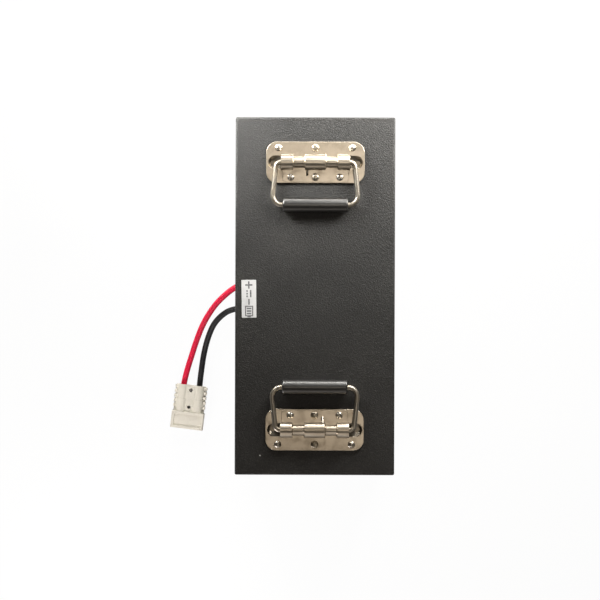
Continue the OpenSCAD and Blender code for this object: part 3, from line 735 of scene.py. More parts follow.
def grid(points: Array, close_rows: bool = False, close_columns: bool = False) -> Surface:
    """Four-cornered faces between the neighbouring points of a grid.

    Args:
        points: the grid, as rows by columns by three.
        close_rows: joins the last row to the first.
        close_columns: joins the last column to the first.

    Returns:
        The surface.
    """
    rows, columns = points.shape[:2]
    index = np.arange(rows * columns).reshape(rows, columns)
    if close_rows:
        index = np.vstack([index, index[:1]])
    if close_columns:
        index = np.hstack([index, index[:, :1]])
    corners = [index[:-1, :-1], index[:-1, 1:], index[1:, 1:], index[1:, :-1]]
    return Surface(points.reshape(-1, 3), [np.stack(corners, -1).reshape(-1, 4)])


def capped(surface: Surface, rings: Sequence[Array]) -> Surface:
    """The surface with a flat many-cornered face on each ring of its points."""
    return Surface(surface.points, surface.faces + [ring[None, :] for ring in rings])


def with_ends(points: Array, close_columns: bool = True) -> Surface:
    """A section carried along a path: a grid with a flat face on its first and on its last row.

    Args:
        points: the grid, as rows by columns by three.
        close_columns: joins the last column to the first.

    Returns:
        The surface.
    """
    rows, columns = points.shape[:2]
    ring = np.arange(columns)
    ends = [ring, ring[::-1] + (rows - 1) * columns]
    return capped(grid(points, close_columns=close_columns), ends)


def levelled(rings: Array, level: Array) -> Array:
    """Rings of flat points, as rings by points by two, each with a third value of its own."""
    third = np.broadcast_to(level[:, None, None], (*rings.shape[:2], 1))
    return np.concatenate([rings, third], -1)


def unit(vectors: Array) -> Array:
    """The same directions with length one."""
    return vectors / np.linalg.norm(vectors, axis=-1, keepdims=True)


def eased(share: Array) -> Array:
    """A smooth rise from 0 to 1: three times the share's square less twice its cube."""
    return share * share * (3 - 2 * share)


def arc(middle: Sequence[float], radius: float, start: float, stop: float, count: int) -> Array:
    """Points on a circle: the middle plus the radius times cosine and sine of the angle.

    Args:
        middle: the circle's middle.
        radius: its radius.
        start: the first angle, in degrees.
        stop: the last angle, in degrees.
        count: the number of points.

    Returns:
        The points, as count by two.
    """
    angle = np.radians(np.linspace(start, stop, count))
    return np.asarray(middle) + radius * np.stack([np.cos(angle), np.sin(angle)], -1)


def rounded_loop(width: float, length: float, radius: float, count: int = 9) -> Array:
    """A rectangle's outline with a quarter circle at each corner, anticlockwise.

    Args:
        width: its size along the first axis.
        length: its size along the second axis.
        radius: the corner radius.
        count: the points on each quarter.

    Returns:
        The outline's points.
    """
    x, y = width / 2 - radius, length / 2 - radius
    middles = [(x, y), (-x, y), (-x, -y), (x, -y)]
    return np.vstack([arc(middle, radius, 90 * k, 90 * k + 90, count) for k, middle in enumerate(middles)])


def inset(loop: Array, depth: Array) -> Array:
    """Rings inside an anticlockwise outline: each point moves along the inward normal.

    Args:
        loop: the outline.
        depth: how far each ring lies inside.

    Returns:
        The rings, as rings by points by two.
    """
    ahead = unit(np.roll(loop, -1, 0) - loop)
    behind = unit(loop - np.roll(loop, 1, 0))
    along = unit(ahead + behind)
    inward = np.stack([-along[:, 1], along[:, 0]], -1)
    stretch = 1.0 / np.clip(np.sum(along * ahead, -1), 0.5, 1.0)
    return loop[None] + depth[:, None, None] * (inward * stretch[:, None])[None]


def sheet(loops: Sequence[Array], bottom: float, top: float, edge: float) -> Surface:
    """A flat sheet with holes and rounded upper edges.

    The wall of each outline is a ring carried up and over a quarter circle of the edge's radius; the
    flat faces are triangles between the outlines.

    Args:
        loops: the outer outline, anticlockwise, and then the holes, clockwise.
        bottom: the lower face's height.
        top: the upper face's height.
        edge: the radius of the upper edges.

    Returns:
        The closed surface.
    """
    edge_points = 5
    angle = np.radians(np.linspace(0, 90, edge_points))
    depth = np.concatenate([[0.0], edge * (1 - np.cos(angle))])
    height = np.concatenate([[bottom], top - edge * (1 - np.sin(angle))])
    rings = [inset(loop, depth) for loop in loops]
    walls = [grid(levelled(ring, height), close_columns=True) for ring in rings]
    flats = [filled([ring[row] for ring in rings], level) for row, level in ((-1, top), (0, bottom))]
    return Surface.joined(walls + flats)


def filled(loops: Sequence[Array], level: float) -> Surface:
    """A flat face of triangles inside an outline and outside its holes.

    A triangle is kept where a line from its middle along the first axis crosses the outlines an odd
    number of times.

    Args:
        loops: the outlines.
        level: the height of the face.

    Returns:
        The face.
    """
    outline = np.vstack(loops)
    stops = np.cumsum([len(loop) for loop in loops])
    after = np.concatenate([np.roll(np.arange(k - len(loop), k), -1) for loop, k in zip(loops, stops)])
    edges = np.column_stack([np.arange(len(outline)), after]).tolist()
    whole_hull, merge_mm = 0, 1e-5
    found = delaunay_2d_cdt(list(map(Vector, outline)), edges, [], whole_hull, merge_mm)
    flat, triangles = np.array(found[0]), np.array(found[2])
    x, y = flat[triangles].mean(1).T[:, :, None]
    (x0, y0), (x1, y1) = outline.T, outline[after].T
    spans = (y0 > y) != (y1 > y)
    meets = x0 + (x1 - x0) * (y - y0) / np.where(y1 == y0, 1.0, y1 - y0)
    inside = (spans & (x < meets)).sum(1) % 2 == 1
    points = np.column_stack([flat, np.full(len(flat), level)])
    return Surface(points, [triangles[inside]])


def tube(path: Array, radius: float, sides: int, up: Sequence[float]) -> Surface:
    """A circle carried along a path, with flat ends.

    At each point the circle lies across the path's direction, on the sideways direction, which is the
    cross product of the path's direction and up, and the direction across both.

    Args:
        path: the points of the path.
        radius: the tube's radius.
        sides: the points on the circle.
        up: a direction that the path never takes.

    Returns:
        The closed tube.
    """
    heading = unit(np.gradient(path, axis=0))
    side = unit(np.cross(heading, np.asarray(up, float)))
    lift = np.cross(side, heading)
    circle = arc((0, 0), radius, 0, 360, sides + 1)[:-1]
    across = circle[None, :, :1] * side[:, None] + circle[None, :, 1:] * lift[:, None]
    return with_ends(path[:, None] + across)


def lathe(profile: Array, sides: int) -> Surface:
    """A profile turned about Z: each of its points runs round a circle of its own radius.

    Args:
        profile: radius and height of each point.
        sides: the steps round the axis.

    Returns:
        The turned surface.
    """
    circle = arc((0, 0), 1.0, 0, 360, sides + 1)[:-1]
    rings = profile[:, None, :1] * circle[None]
    return grid(levelled(rings, profile[:, 1]), close_columns=True)


def smooth_path(points: Array, steps: int) -> Array:
    """A cubic B-spline near the points, which starts and ends on the first and last of them.

    Between two points the position is the sum of four neighbours, weighted by the spline's cubics.

    Args:
        points: the route's points.
        steps: the steps between two points.

    Returns:
        The curve's points.
    """
    padded = np.vstack([2 * points[0] - points[1], points, 2 * points[-1] - points[-2]])
    spans = len(points) - 1
    t = np.linspace(0, 1, steps, endpoint=False)[None, :, None]
    weights = [(1 - t) ** 3, 3 * t**3 - 6 * t**2 + 4, -3 * t**3 + 3 * t**2 + 3 * t + 1, t**3]
    curve = sum(padded[k : k + spans, None] * weight for k, weight in enumerate(weights)) / 6
    return np.vstack([curve.reshape(-1, 3), points[-1:]])


def centre(node: str, level: float) -> Place:
    """The middle of a solid's box, seen from above, at a height."""
    low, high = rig.box(node)
    return ((low.x + high.x) / 2, (low.y + high.y) / 2, level)


def shown(name: str, data: bpy.types.ID) -> bpy.types.Object:
    """Puts a new object in the scene.

    Args:
        name: its name.
        data: its mesh, light or camera.

    Returns:
        The object.
    """
    made = bpy.data.objects.new(name, data)
    bpy.context.scene.collection.objects.link(made)
    return made


@dataclass
class Piece:
    """A piece to make: its name, its finish's slot, the solids that it stands for and its body.

    An edge that turns by the sharp angle, in degrees, or by more stays sharp.
    """

    finishes: Finishes
    name: str
    slot: str
    nodes: Sequence[str]
    body: Body = Body.BOX
    sharp: float = 40.0

    def shaped(self, surface: Surface) -> bpy.types.Object:
        """Makes the piece from a surface in metres.

        Args:
            surface: the surface.

        Returns:
            The piece.
        """
        mesh = bpy.data.meshes.new(self.name)
        faces = sum((block.tolist() for block in surface.faces), [])
        mesh.from_pydata(surface.points.tolist(), [], faces)
        return self.dressed(mesh)

    def copied(self, edge_mm: float = 0.0) -> bpy.types.Object:
        """Makes the piece from a merged copy of its solid's mesh, with rounded edges if wanted.

        Args:
            edge_mm: the width of the rounding on sharp edges.

        Returns:
            The piece.
        """
        mesh = frame["nodes"][self.nodes[0]].data.copy()
        piece = self.dressed(mesh, join_flats=edge_mm > 0)
        if edge_mm:
            rounding = piece.modifiers.new("edges", "BEVEL")
            rounding.width = edge_mm * MM
            rounding.segments = 2
            rounding.limit_method = "ANGLE"
            rounding.angle_limit = math.radians(self.sharp)
            rounding.harden_normals = True
            piece.modifiers.move(len(piece.modifiers) - 1, 0)
        return piece

    def dressed(self, mesh: bpy.types.Mesh, join_flats: bool = False) -> bpy.types.Object:
        """Closes a mesh's seams, turns its faces outwards and makes it the finished piece.

        Args:
            mesh: the mesh.
            join_flats: joins the triangles of each flat face, so that its edges round evenly.

        Returns:
            The piece.
        """
        flat = math.radians(0.5)
        work = bmesh.new()
        work.from_mesh(mesh)
        bmesh.ops.remove_doubles(work, verts=work.verts, dist=MERGE_M)
        if join_flats:
            bmesh.ops.dissolve_limit(work, angle_limit=flat, verts=work.verts, edges=work.edges)
        bmesh.ops.dissolve_degenerate(work, edges=work.edges, dist=MERGE_M)
        bmesh.ops.recalc_face_normals(work, faces=work.faces)
        work.to_mesh(mesh)
        work.free()
        mesh.shade_smooth()
        mesh.set_sharp_from_angle(angle=math.radians(self.sharp))
        mesh.materials.clear()
        mesh.materials.append(self.finishes.of(self.slot))
        piece = shown(self.name, mesh)
        piece.modifiers.new("even_normals", "WEIGHTED_NORMAL").keep_sharp = True
        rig.ride(piece, self.body.value)
        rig.slot(piece, self.slot)
        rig.replaces(piece, *self.nodes)
        LOG.info("%s: %d faces, in place of %s", self.name, len(mesh.polygons), ", ".join(self.nodes))
        return piece


class Pole(Enum):
    """The poles of the leads: name and finish."""

    POSITIVE = ("positive", "red_sheath")
    NEGATIVE = ("negative", "black_sheath")


@dataclass
class Leads:
    """The red and the black lead, from the outlets in the box's side to the plug."""

    finishes: Finishes
    diameter: float = 6.4
    sides: int = 32
    steps: int = 10

    def routes(self) -> dict[Pole, list[Place]]:
        """The route's points of each lead, in metres.

        Returns:
            The points under each lead's pole.
        """
        return {
            Pole.POSITIVE: [
                (-0.0810, 0.0120, 0.0360), (-0.0885, 0.0080, 0.0355), (-0.0955, 0.0025, 0.0335),
                (-0.1020, -0.0035, 0.0310), (-0.1080, -0.0100, 0.0280), (-0.1130, -0.0170, 0.0245),
                (-0.1175, -0.0240, 0.0210), (-0.1215, -0.0315, 0.0175), (-0.1250, -0.0395, 0.0145),
                (-0.1280, -0.0475, 0.0120), (-0.1310, -0.0560, 0.0100), (-0.1335, -0.0645, 0.0090),
                (-0.1365, -0.0735, 0.0085), (-0.1390, -0.0820, 0.0083), (-0.1410, -0.0900, 0.0083),
                (-0.1425, -0.0975, 0.0083), (-0.1438, -0.1085, 0.0083),
            ],
            Pole.NEGATIVE: [
                (-0.0810, -0.0133, 0.0360), (-0.0885, -0.0145, 0.0355), (-0.0950, -0.0170, 0.0335),
                (-0.1010, -0.0215, 0.0310), (-0.1060, -0.0265, 0.0280), (-0.1100, -0.0320, 0.0250),
                (-0.1130, -0.0385, 0.0215), (-0.1155, -0.0450, 0.0185), (-0.1175, -0.0515, 0.0155),
                (-0.1193, -0.0585, 0.0125), (-0.1208, -0.0655, 0.0105), (-0.1220, -0.0730, 0.0090),
                (-0.1230, -0.0805, 0.0083), (-0.1240, -0.0880, 0.0083), (-0.1248, -0.0960, 0.0083),
                (-0.1255, -0.1030, 0.0083), (-0.1263, -0.1106, 0.0083),
            ],
        }

    def build(self, carried: dict[Pole, Sequence[bpy.types.Object]]) -> None:
        """Args:
            carried: the pieces on the end of each lead.
        """
        for pole, route in self.routes().items():
            name, slot = pole.value
            path = smooth_path(np.array(route), self.steps)
            length = float(np.linalg.norm(np.diff(path, axis=0), axis=1).sum())
            surface = tube(path, self.diameter / 2 * MM, self.sides, (0, 0, 1))
            lead = Piece(self.finishes, f"{name}_flex", slot, [f"{name}_cable"]).shaped(surface)
            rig.cord(
                lead,
                exit=route[0],
                length=length,
                diameter=self.diameter * MM,
                far_end="connector",
                stiffness="medium",
                lay="loose",
                path=path.tolist(),
                with_pieces=carried[pole],
            )
            LOG.info("%s lead: %.0f mm long", name, length / MM)


@dataclass
class Plug:
    """The two-pole plug on the leads: its housing, contacts and leaf springs."""

    finishes: Finishes
    edge_mm: float = 0.3
    sharp: float = 30.0

    def build(self) -> dict[str, bpy.types.Object]:
        """Makes the plug's pieces from its solids, the housing with rounded edges.

        Returns:
            The pieces under their solids' names.
        """
        slots = {
            "plug_housing": ("plug_plastic", self.edge_mm),
            "positive_contact": ("contact_silver", 0.0),
            "negative_contact": ("contact_silver", 0.0),
            "contact_springs": ("leaf_steel", 0.0),
        }
        return {
            node: Piece(self.finishes, f"{node}_dressed", slot, [node], sharp=self.sharp).copied(edge)
            for node, (slot, edge) in slots.items()
        }


def label_film() -> LabelFilm:
    """The label's finish, at the place of the label's solid, turned as the label is."""
    turn_deg = 0.8
    return LabelFilm(centre("rating_label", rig.box("rating_label")[0].z), math.radians(turn_deg))


@dataclass
class Case:
    """The steel tub and lid, their screws, the grommets and the label."""

    finishes: Finishes
    sharp: float = 30.0
    label_l: float = 38.4
    label_w: float = 14.9
    label_t: float = 0.2
    label_corner: float = 0.6

    def build(self) -> None:
        """Makes the outside of the case from its solids, and the label."""
        slots = {
            "lid": "case_paint",
            "case_tub": "case_paint",
            "lid_screws": "black_screw",
            "positive_grommet": "grommet_rubber",
            "negative_grommet": "grommet_rubber",
        }
        for node, slot in slots.items():
            Piece(self.finishes, f"{node}_dressed", slot, [node], sharp=self.sharp).copied()
        self.build_label()

    def build_label(self) -> None:
        """Makes the label: a thin sheet with rounded corners."""
        corner_points = 5
        loop = rounded_loop(self.label_w, self.label_l, self.label_corner, corner_points)
        surface = sheet([loop], 0.0, self.label_t, self.label_t / 2)
        film = label_film()
        placed = surface.moved(film.middle, film.turn)
        Piece(self.finishes, "label", "label_film", ["rating_label"]).shaped(placed)


class End(Enum):
    """The two ends of the lid that carry a handle: name, body and turn in degrees."""

    REAR = ("rear", Body.REAR_HANDLE, 180.0)
    FRONT = ("front", Body.FRONT_HANDLE, 0.0)


@dataclass
class Handle:
    """A sprung drop handle. Its own axes are u along the pivot, v towards the grip and w up."""

    finishes: Finishes
    end: End
    plate_l: float = 100.0
    plate_w: float = 42.0
    plate_corner: float = 11.0
    plate_bottom: float = 1.2
    plate_top: float = 2.7
    plate_edge: float = 0.5
    pivot_h: float = 7.6
    knuckle_l: float = 12.8
    neck_l: float = 10.8
    middle_l: float = 22.4
    knuckle_r: float = 7.6
    knuckle_slope: float = 1.0
    neck_r: float = 5.2
    foot_r: float = 0.9
    window_r: float = 6.6
    window_l: float = 13.1
    dish_h: float = 2.3
    dish_floor: float = 0.4
    dish_shift: float = 0.2
    dish_t: float = 0.2
    dish_drop: float = 0.2
    backing_inset: float = 1.0
    backing_edge: float = 0.1
    tongue_l: float = 67.6
    tongue_v: float = 20.0
    tongue_t: float = 0.4
    tongue_corner: float = 3.5
    tongue_edge: float = 0.35
    rod_r: float = 2.5
    rod_sides: int = 28
    elbow_r: float = 5.0
    elbow_gap: float = 0.3
    corner_r: float = 9.5
    flare: float = 6.0
    grip_reach: float = 43.2
    grip_r: float = 7.4
    grip_l: float = 66.0
    grip_edge: float = 1.6
    grip_gap: float = 0.02
    grip_sides: int = 64
    wire_r: float = 1.3
    wire_sides: int = 14
    coil_r: float = 3.75
    coil_pitch: float = 2.4
    coil_turns: int = 7
    coil_steps: int = 20
    tail_u: float = 8.2
    tail_v: float = 13.4
    tail_slope: float = 29.0

    def __post_init__(self) -> None:
        """Works out the handle's place from its plate and the lid, and the barrel's length."""
        self.prefix, self.body, turn = self.end.value
        self.turn = math.radians(turn)
        self.origin = centre(f"{self.prefix}_handle_plate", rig.box("lid")[1].z)
        self.barrel_l = 2 * self.knuckle_l + 2 * self.neck_l + self.middle_l

    def put(self, name: str, surface: Surface, slot: str, node: str, body: Body = Body.BOX) -> None:
        """Places a surface of the handle and makes it a piece.

        Args:
            name: what the piece is.
            surface: the surface, in millimetres on the handle's own axes.
            slot: the record's slot of its finish.
            node: the solid that it stands for, without the word for the handle's end.
            body: the body that it rides on.
        """
        piece = Piece(self.finishes, f"{self.prefix}_{name}", slot, [f"{self.prefix}_{node}"], body)
        piece.shaped(surface.moved(self.origin, self.turn))

    def build(self) -> None:
        """Makes the handle's pieces."""
        self.put("pressed_plate", self.plate(), "handle_steel", "handle_plate")
        self.put("dished_backing", self.backing(), "backing_steel", "backing_plate")
        self.put("bent_bail", self.bail(), "bail_steel", "bail", self.body)
        self.put("grip_sleeve", self.grip(), "grip_rubber", "grip", self.body)
        self.put("torsion_spring", self.spring(), "spring_steel", "spring")

    def plate(self) -> Surface:
        """The pressed plate with its windows, the tongue and the barrel.

        Returns:
            The surface.
        """
        corner_points = 13
        outer = rounded_loop(self.plate_l, self.plate_w, self.plate_corner, corner_points)
        windows = [self.window(side) for side in (-1, 1)]
        flat = sheet([outer, *windows], self.plate_bottom, self.plate_top, self.plate_edge)
        return Surface.joined([flat, self.tongue(), self.barrel()])

    def tongue(self) -> Surface:
        """The end of the strip that wraps the barrel, flat on the plate under the inner fasteners.

        Returns:
            The closed surface.
        """
        loop = rounded_loop(self.tongue_l, self.tongue_v, self.tongue_corner)
        placed = loop + np.array([0.0, self.tongue_v / 2])
        low, high = self.plate_top - self.tongue_t, self.plate_top + self.tongue_t
        return sheet([placed], low, high, self.tongue_edge)

    def backing(self) -> Surface:
        """The backing plate, with a dish under each window of the pressed plate.

        Returns:
            The closed surfaces.
        """
        outer = rounded_loop(
            self.plate_l - 2 * self.backing_inset,
            self.plate_w - 2 * self.backing_inset,
            self.plate_corner - self.backing_inset,
        )
        windows = [self.window(side) for side in (-1, 1)]
        flat = sheet([outer, *windows], 0.0, self.plate_bottom, self.backing_edge)
        return Surface.joined([flat, *(self.dish(window) for window in windows)])

    def dish(self, window: Array) -> Surface:
        """A dish in a window: rings shrink, move towards the grip and sink evenly down to a flat floor.

        Args:
            window: the window's outline.

        Returns:
            The closed surface.
        """
        ring_count = 16
        rim = self.plate_top - self.dish_drop
        size = np.linspace(1.0, 0.0, ring_count)
        middle = window.mean(0)
        shift = np.array([0.0, self.dish_shift * self.window_r])
        rings = middle + size[:, None, None] * (window - middle) + (1 - size)[:, None, None] * shift
        top = rim - self.dish_h * np.clip((1 - size) / (1 - self.dish_floor), 0, 1)
        both = np.concatenate([rings, rings[::-1]])
        level = np.concatenate([top, top[::-1] - self.dish_t])
        return grid(levelled(both, level), close_rows=True, close_columns=True)

    def window(self, side: int) -> Array:
        """The clockwise outline of the window beside one end of the barrel.

        Args:
            side: -1 or 1, the end along u.

        Returns:
            The outline.
        """
        bend_points = 17
        start = self.barrel_l / 2
        middle = start + self.window_l - self.window_r
        bend = arc((middle, 0.0), self.window_r, -90, 90, bend_points)
        loop = np.vstack([[start, -self.window_r], bend, [start, self.window_r]])
        turned = loop * np.array([side, 1.0])
        return turned[::-1] if side > 0 else turned

    def barrel(self) -> Surface:
        """The knuckled barrel: a section carried along u with a radius that steps between knuckles.

        The section runs up a concave foot, a straight side and half a circle, and down again. The
        radius eases between neck and knuckle over a short slope.

        Returns:
            The closed surface.
        """
        run_points, foot_points, arch_points = 7, 7, 29
        middle = self.middle_l / 2
        neck = middle + self.neck_l
        stops = [0, middle - self.knuckle_slope, middle, neck, neck + self.knuckle_slope, self.barrel_l / 2]
        shares = [1.0, 1.0, 0.0, 0.0, 1.0, 1.0]
        runs = [np.linspace(a, b, run_points) for a, b in zip(stops, stops[1:])]
        right = np.unique(np.concatenate(runs))
        along = np.concatenate([-right[:0:-1], right])
        share = eased(np.interp(np.abs(along), stops, shares))
        out = (self.neck_r + (self.knuckle_r - self.neck_r) * share)[:, None]
        rise = self.pivot_h - self.plate_top
        foot = arc((self.foot_r, self.foot_r), self.foot_r, 270, 180, foot_points)
        arch = arc((0, 0), 1.0, 0, 180, arch_points)
        foot_h = np.broadcast_to(foot[:, 1], (len(along), foot_points))
        right_side = np.stack([out + foot[None, :, 0], foot_h], -1)
        over = np.stack([out * arch[None, :, 0], rise + out * arch[None, :, 1]], -1)
        left_side = right_side[:, ::-1] * np.array([-1.0, 1.0])
        section = np.concatenate([right_side, over, left_side], 1) + np.array([0.0, self.plate_top])
        return with_ends(np.roll(levelled(section, along), 1, -1), close_columns=False)

    def bail_path(self) -> Array:
        """The bail's middle line: pin, elbow, flared arm, corner and cross run, and back.

        Returns:
            The points, in millimetres on the handle's own axes.
        """
        pin_start = 1.0
        pin_points, elbow_points, arm_points, bend_points, run_points = 12, 13, 10, 15, 8
        elbow_u = self.barrel_l / 2 + self.elbow_gap
        tilt = math.radians(self.flare)
        sin, cos = math.sin(tilt), math.cos(tilt)
        arm_start = np.array([elbow_u + self.elbow_r * cos, self.elbow_r * (1 - sin)])
        arm_rise = self.grip_reach - self.corner_r * (1 + sin) - arm_start[1]
        arm_end = arm_start + arm_rise / cos * np.array([sin, cos])
        corner = arm_end + self.corner_r * np.array([-cos, sin])
        pin_u = np.linspace(pin_start, elbow_u, pin_points)[:-1]
        pin = np.column_stack([pin_u, np.zeros_like(pin_u)])
        elbow = arc((elbow_u, self.elbow_r), self.elbow_r, -90, -self.flare, elbow_points)
        arm = arm_start + np.linspace(0, 1, arm_points)[1:-1, None] * (arm_end - arm_start)
        bend = arc(corner, self.corner_r, -self.flare, 90, bend_points)
        run_u = np.linspace(corner[0], 0, run_points)[1:]
        run = np.column_stack([run_u, np.full_like(run_u, self.grip_reach)])
        half = np.vstack([pin, elbow, arm, bend, run])
        flat = np.vstack([half, half[-2::-1] * np.array([-1.0, 1.0])])
        return np.column_stack([flat, np.full(len(flat), self.pivot_h)])

    def bail(self) -> Surface:
        """The bent rod: a circle carried along the bail's middle line."""
        return tube(self.bail_path(), self.rod_r, self.rod_sides, (0, 0, 1))

    def grip(self) -> Surface:
        """The grip: a profile with rounded ends turned about the bail's cross run.

        Returns:
            The closed surface.
        """
        edge_points, body_points, body_margin = 7, 11, 2.0
        half = self.grip_l / 2
        corner = (self.grip_r - self.grip_edge, half - self.grip_edge)
        rim = arc(corner, self.grip_edge, 90, 0, edge_points)
        upper = np.vstack([[self.rod_r + self.grip_gap, half], rim])
        body_u = np.linspace(1, -1, body_points)[1:-1] * (half - body_margin)
        body = np.column_stack([np.full_like(body_u, self.grip_r), body_u])
        lower = upper[::-1] * np.array([1.0, -1.0])
        turned = lathe(np.vstack([upper, body, lower, upper[:1]]), self.grip_sides)
        v, w, u = turned.points.T
        return Surface(np.column_stack([u, v + self.grip_reach, w + self.pivot_h]), turned.faces)

    def spring(self) -> Surface:
        """The torsion spring: a helix about the pivot whose end slopes straight down over the plate.

        Round the helix the angle falls evenly along u. The tail keeps the helix's last direction.

        Returns:
            The closed tube.
        """
        tail_points = 12
        steps = np.linspace(0, self.coil_turns, self.coil_turns * self.coil_steps + 1)
        leave = math.radians(90 - self.tail_slope)
        angle = leave + 2 * np.pi * (self.coil_turns - steps)
        start = self.tail_u - self.coil_turns * self.coil_pitch
        coil = np.column_stack([
            start + self.coil_pitch * steps,
            self.coil_r * np.cos(angle),
            self.pivot_h + self.coil_r * np.sin(angle),
        ])
        heading = np.array([0.0, math.sin(leave), -math.cos(leave)])
        reach = (self.tail_v - coil[-1, 1]) / heading[1]
        tail = coil[-1] + np.linspace(0, reach, tail_points)[1:, None] * heading
        return tube(np.vstack([coil, tail]), self.wire_r, self.wire_sides, (1, 0, 0))


@dataclass
class Fasteners:
    """The rivets and screws that hold both handles."""

    finishes: Finishes
    handles: Sequence[Handle]
    row: float = 14.9
    outer: float = 37.4
    inner: float = 24.8
    screw_r: float = 3.7
    screw_h: float = 2.5
    screw_sharp: float = 30.0
    skirt_h: float = 1.0
    skirt_w: float = 0.6
    cross_l: float = 4.4
    cross_w: float = 1.0
    cross_h: float = 1.3
    cross_slope: float = 0.3
    cross_turns: tuple[float, ...] = (12, 71, 38, 55, 24, 83, 47, 5)
    rivet_r: float = 4.0
    rivet_h: float = 2.2
    rivet_sharp: float = 50.0
    flange_h: float = 0.25
    flange_w: float = 0.15

    def build(self) -> None:
        """Makes the two groups of fasteners."""
        screw_places = [
            (side * reach, row)
            for side in (-1, 1)
            for reach, row in ((self.outer, -self.row), (self.inner, self.row))
        ]
        rivet_places = [(0.0, -self.row), (0.0, self.row)]
        screws = self.spread(screw_places, [self.screw(turn) for turn in np.radians(self.cross_turns)])
        rivets = self.spread(rivet_places, [self.rivet()] * len(rivet_places) * len(self.handles))
        for kind, heads, sharp in (("screw", screws, self.screw_sharp), ("rivet", rivets, self.rivet_sharp)):
            name, slot, node = f"handle_{kind}_heads", f"{kind}_steel", f"handle_{kind}s"
            Piece(self.finishes, name, slot, [node], sharp=sharp).shaped(heads)

    def spread(self, places: Sequence[tuple[float, float]], heads: Sequence[Surface]) -> Surface:
        """Heads at their places on both handles.

        Args:
            places: the places on a handle's own axes.
            heads: a head for each place on each handle.

        Returns:
            All the heads as one surface.
        """
        seats = [(handle, u, v) for handle in self.handles for u, v in places]
        copies = []
        for head, (handle, u, v) in zip(heads, seats):
            seat = handle.plate_top + (handle.tongue_t if v > 0 else 0.0)
            lifted = Surface(head.points + np.array([u, v, seat]), head.faces)
            copies.append(lifted.moved(handle.origin, handle.turn))
        return Surface.joined(copies)

    def screw(self, turn: float) -> Surface:
        """A round screw head with a cross recess.

        The height over a disc is a sloping skirt and a low dome, less the recess's depth, which eases
        in over the distance to the edge of two crossed bars.

        Args:
            turn: the turn of the recess, in radians.

        Returns:
            The closed surface.
        """
        rings, sides = 30, 96
        brim = self.screw_r - self.skirt_w
        radius = brim * np.sin(np.linspace(0, np.pi / 2, rings))
        angle = np.radians(np.linspace(0, 360, sides + 1)[:-1])
        rise = self.screw_h - self.skirt_h
        ball = (brim**2 + rise**2) / (2 * rise)
        dome = self.skirt_h + np.sqrt(ball**2 - radius**2) - (ball - rise)
        x = radius[:, None] * np.cos(angle)
        y = radius[:, None] * np.sin(angle)
        a = np.abs(x * math.cos(turn) + y * math.sin(turn))
        b = np.abs(y * math.cos(turn) - x * math.sin(turn))
        long_bar = np.maximum(a - self.cross_l / 2, b - self.cross_w / 2)
        short_bar = np.maximum(b - self.cross_l / 2, a - self.cross_w / 2)
        sunk = np.clip(0.5 - np.minimum(long_bar, short_bar) / self.cross_slope, 0, 1)
        head = np.stack([x, y, dome[:, None] - self.cross_h * eased(sunk)], -1)
        skirt = head[-1:] * np.array([self.screw_r / brim, self.screw_r / brim, 0.0])
        surface = grid(np.concatenate([head, skirt]), close_columns=True)
        return capped(surface, [np.arange(sides) + rings * sides])

    def rivet(self) -> Surface:
        """A domed rivet head on a thin flange: a quarter ellipse turned about its axis.

        Returns:
            The closed surface.
        """
        dome_points, sides = 14, 48
        angle = np.linspace(0, np.pi / 2, dome_points)
        radius = (self.rivet_r - self.flange_w) * np.sin(angle)
        dome = np.column_stack([radius, self.flange_h + (self.rivet_h - self.flange_h) * np.cos(angle)])
        foot = [[self.rivet_r, self.flange_h], [self.rivet_r, 0.0], [0.0, 0.0]]
        return lathe(np.vstack([dome, foot]), sides)


@dataclass
class Contents:
    """The solids that keep their own shape: the seal, the nuts and what the box holds."""

    finishes: Finishes

    def dress(self) -> None:
        """Gives each solid that is still shown the finish of its slot."""
        for row in frame["record"]["subparts"]:
            node = frame["nodes"][row["node"]]
            if not node.hide_render:
                node.data.materials.clear()
                node.data.materials.append(self.finishes.of(row["material_slot"]))
                LOG.info("%s: solid in %s", row["node"], row["material_slot"])


@dataclass(frozen=True)
class Lamp:
    """A soft rectangular lamp: its place, the point that it faces, its size, power and colour."""

    name: str
    place: Place
    aim: Place
    size: tuple[float, float]
    power: float
    colour: Colour

    def hang(self) -> None:
        """Puts the lamp in the scene."""
        light = bpy.data.lights.new(self.name, "AREA")
        light.shape = "RECTANGLE"
        light.size, light.size_y = self.size
        light.energy = self.power
        light.color = self.colour
        seat = shown(self.name, light)
        seat.location = self.place
        facing = Vector(self.aim) - Vector(self.place)
        seat.rotation_euler = facing.to_track_quat("-Z", "Y").to_euler()
        seat.visible_camera = False


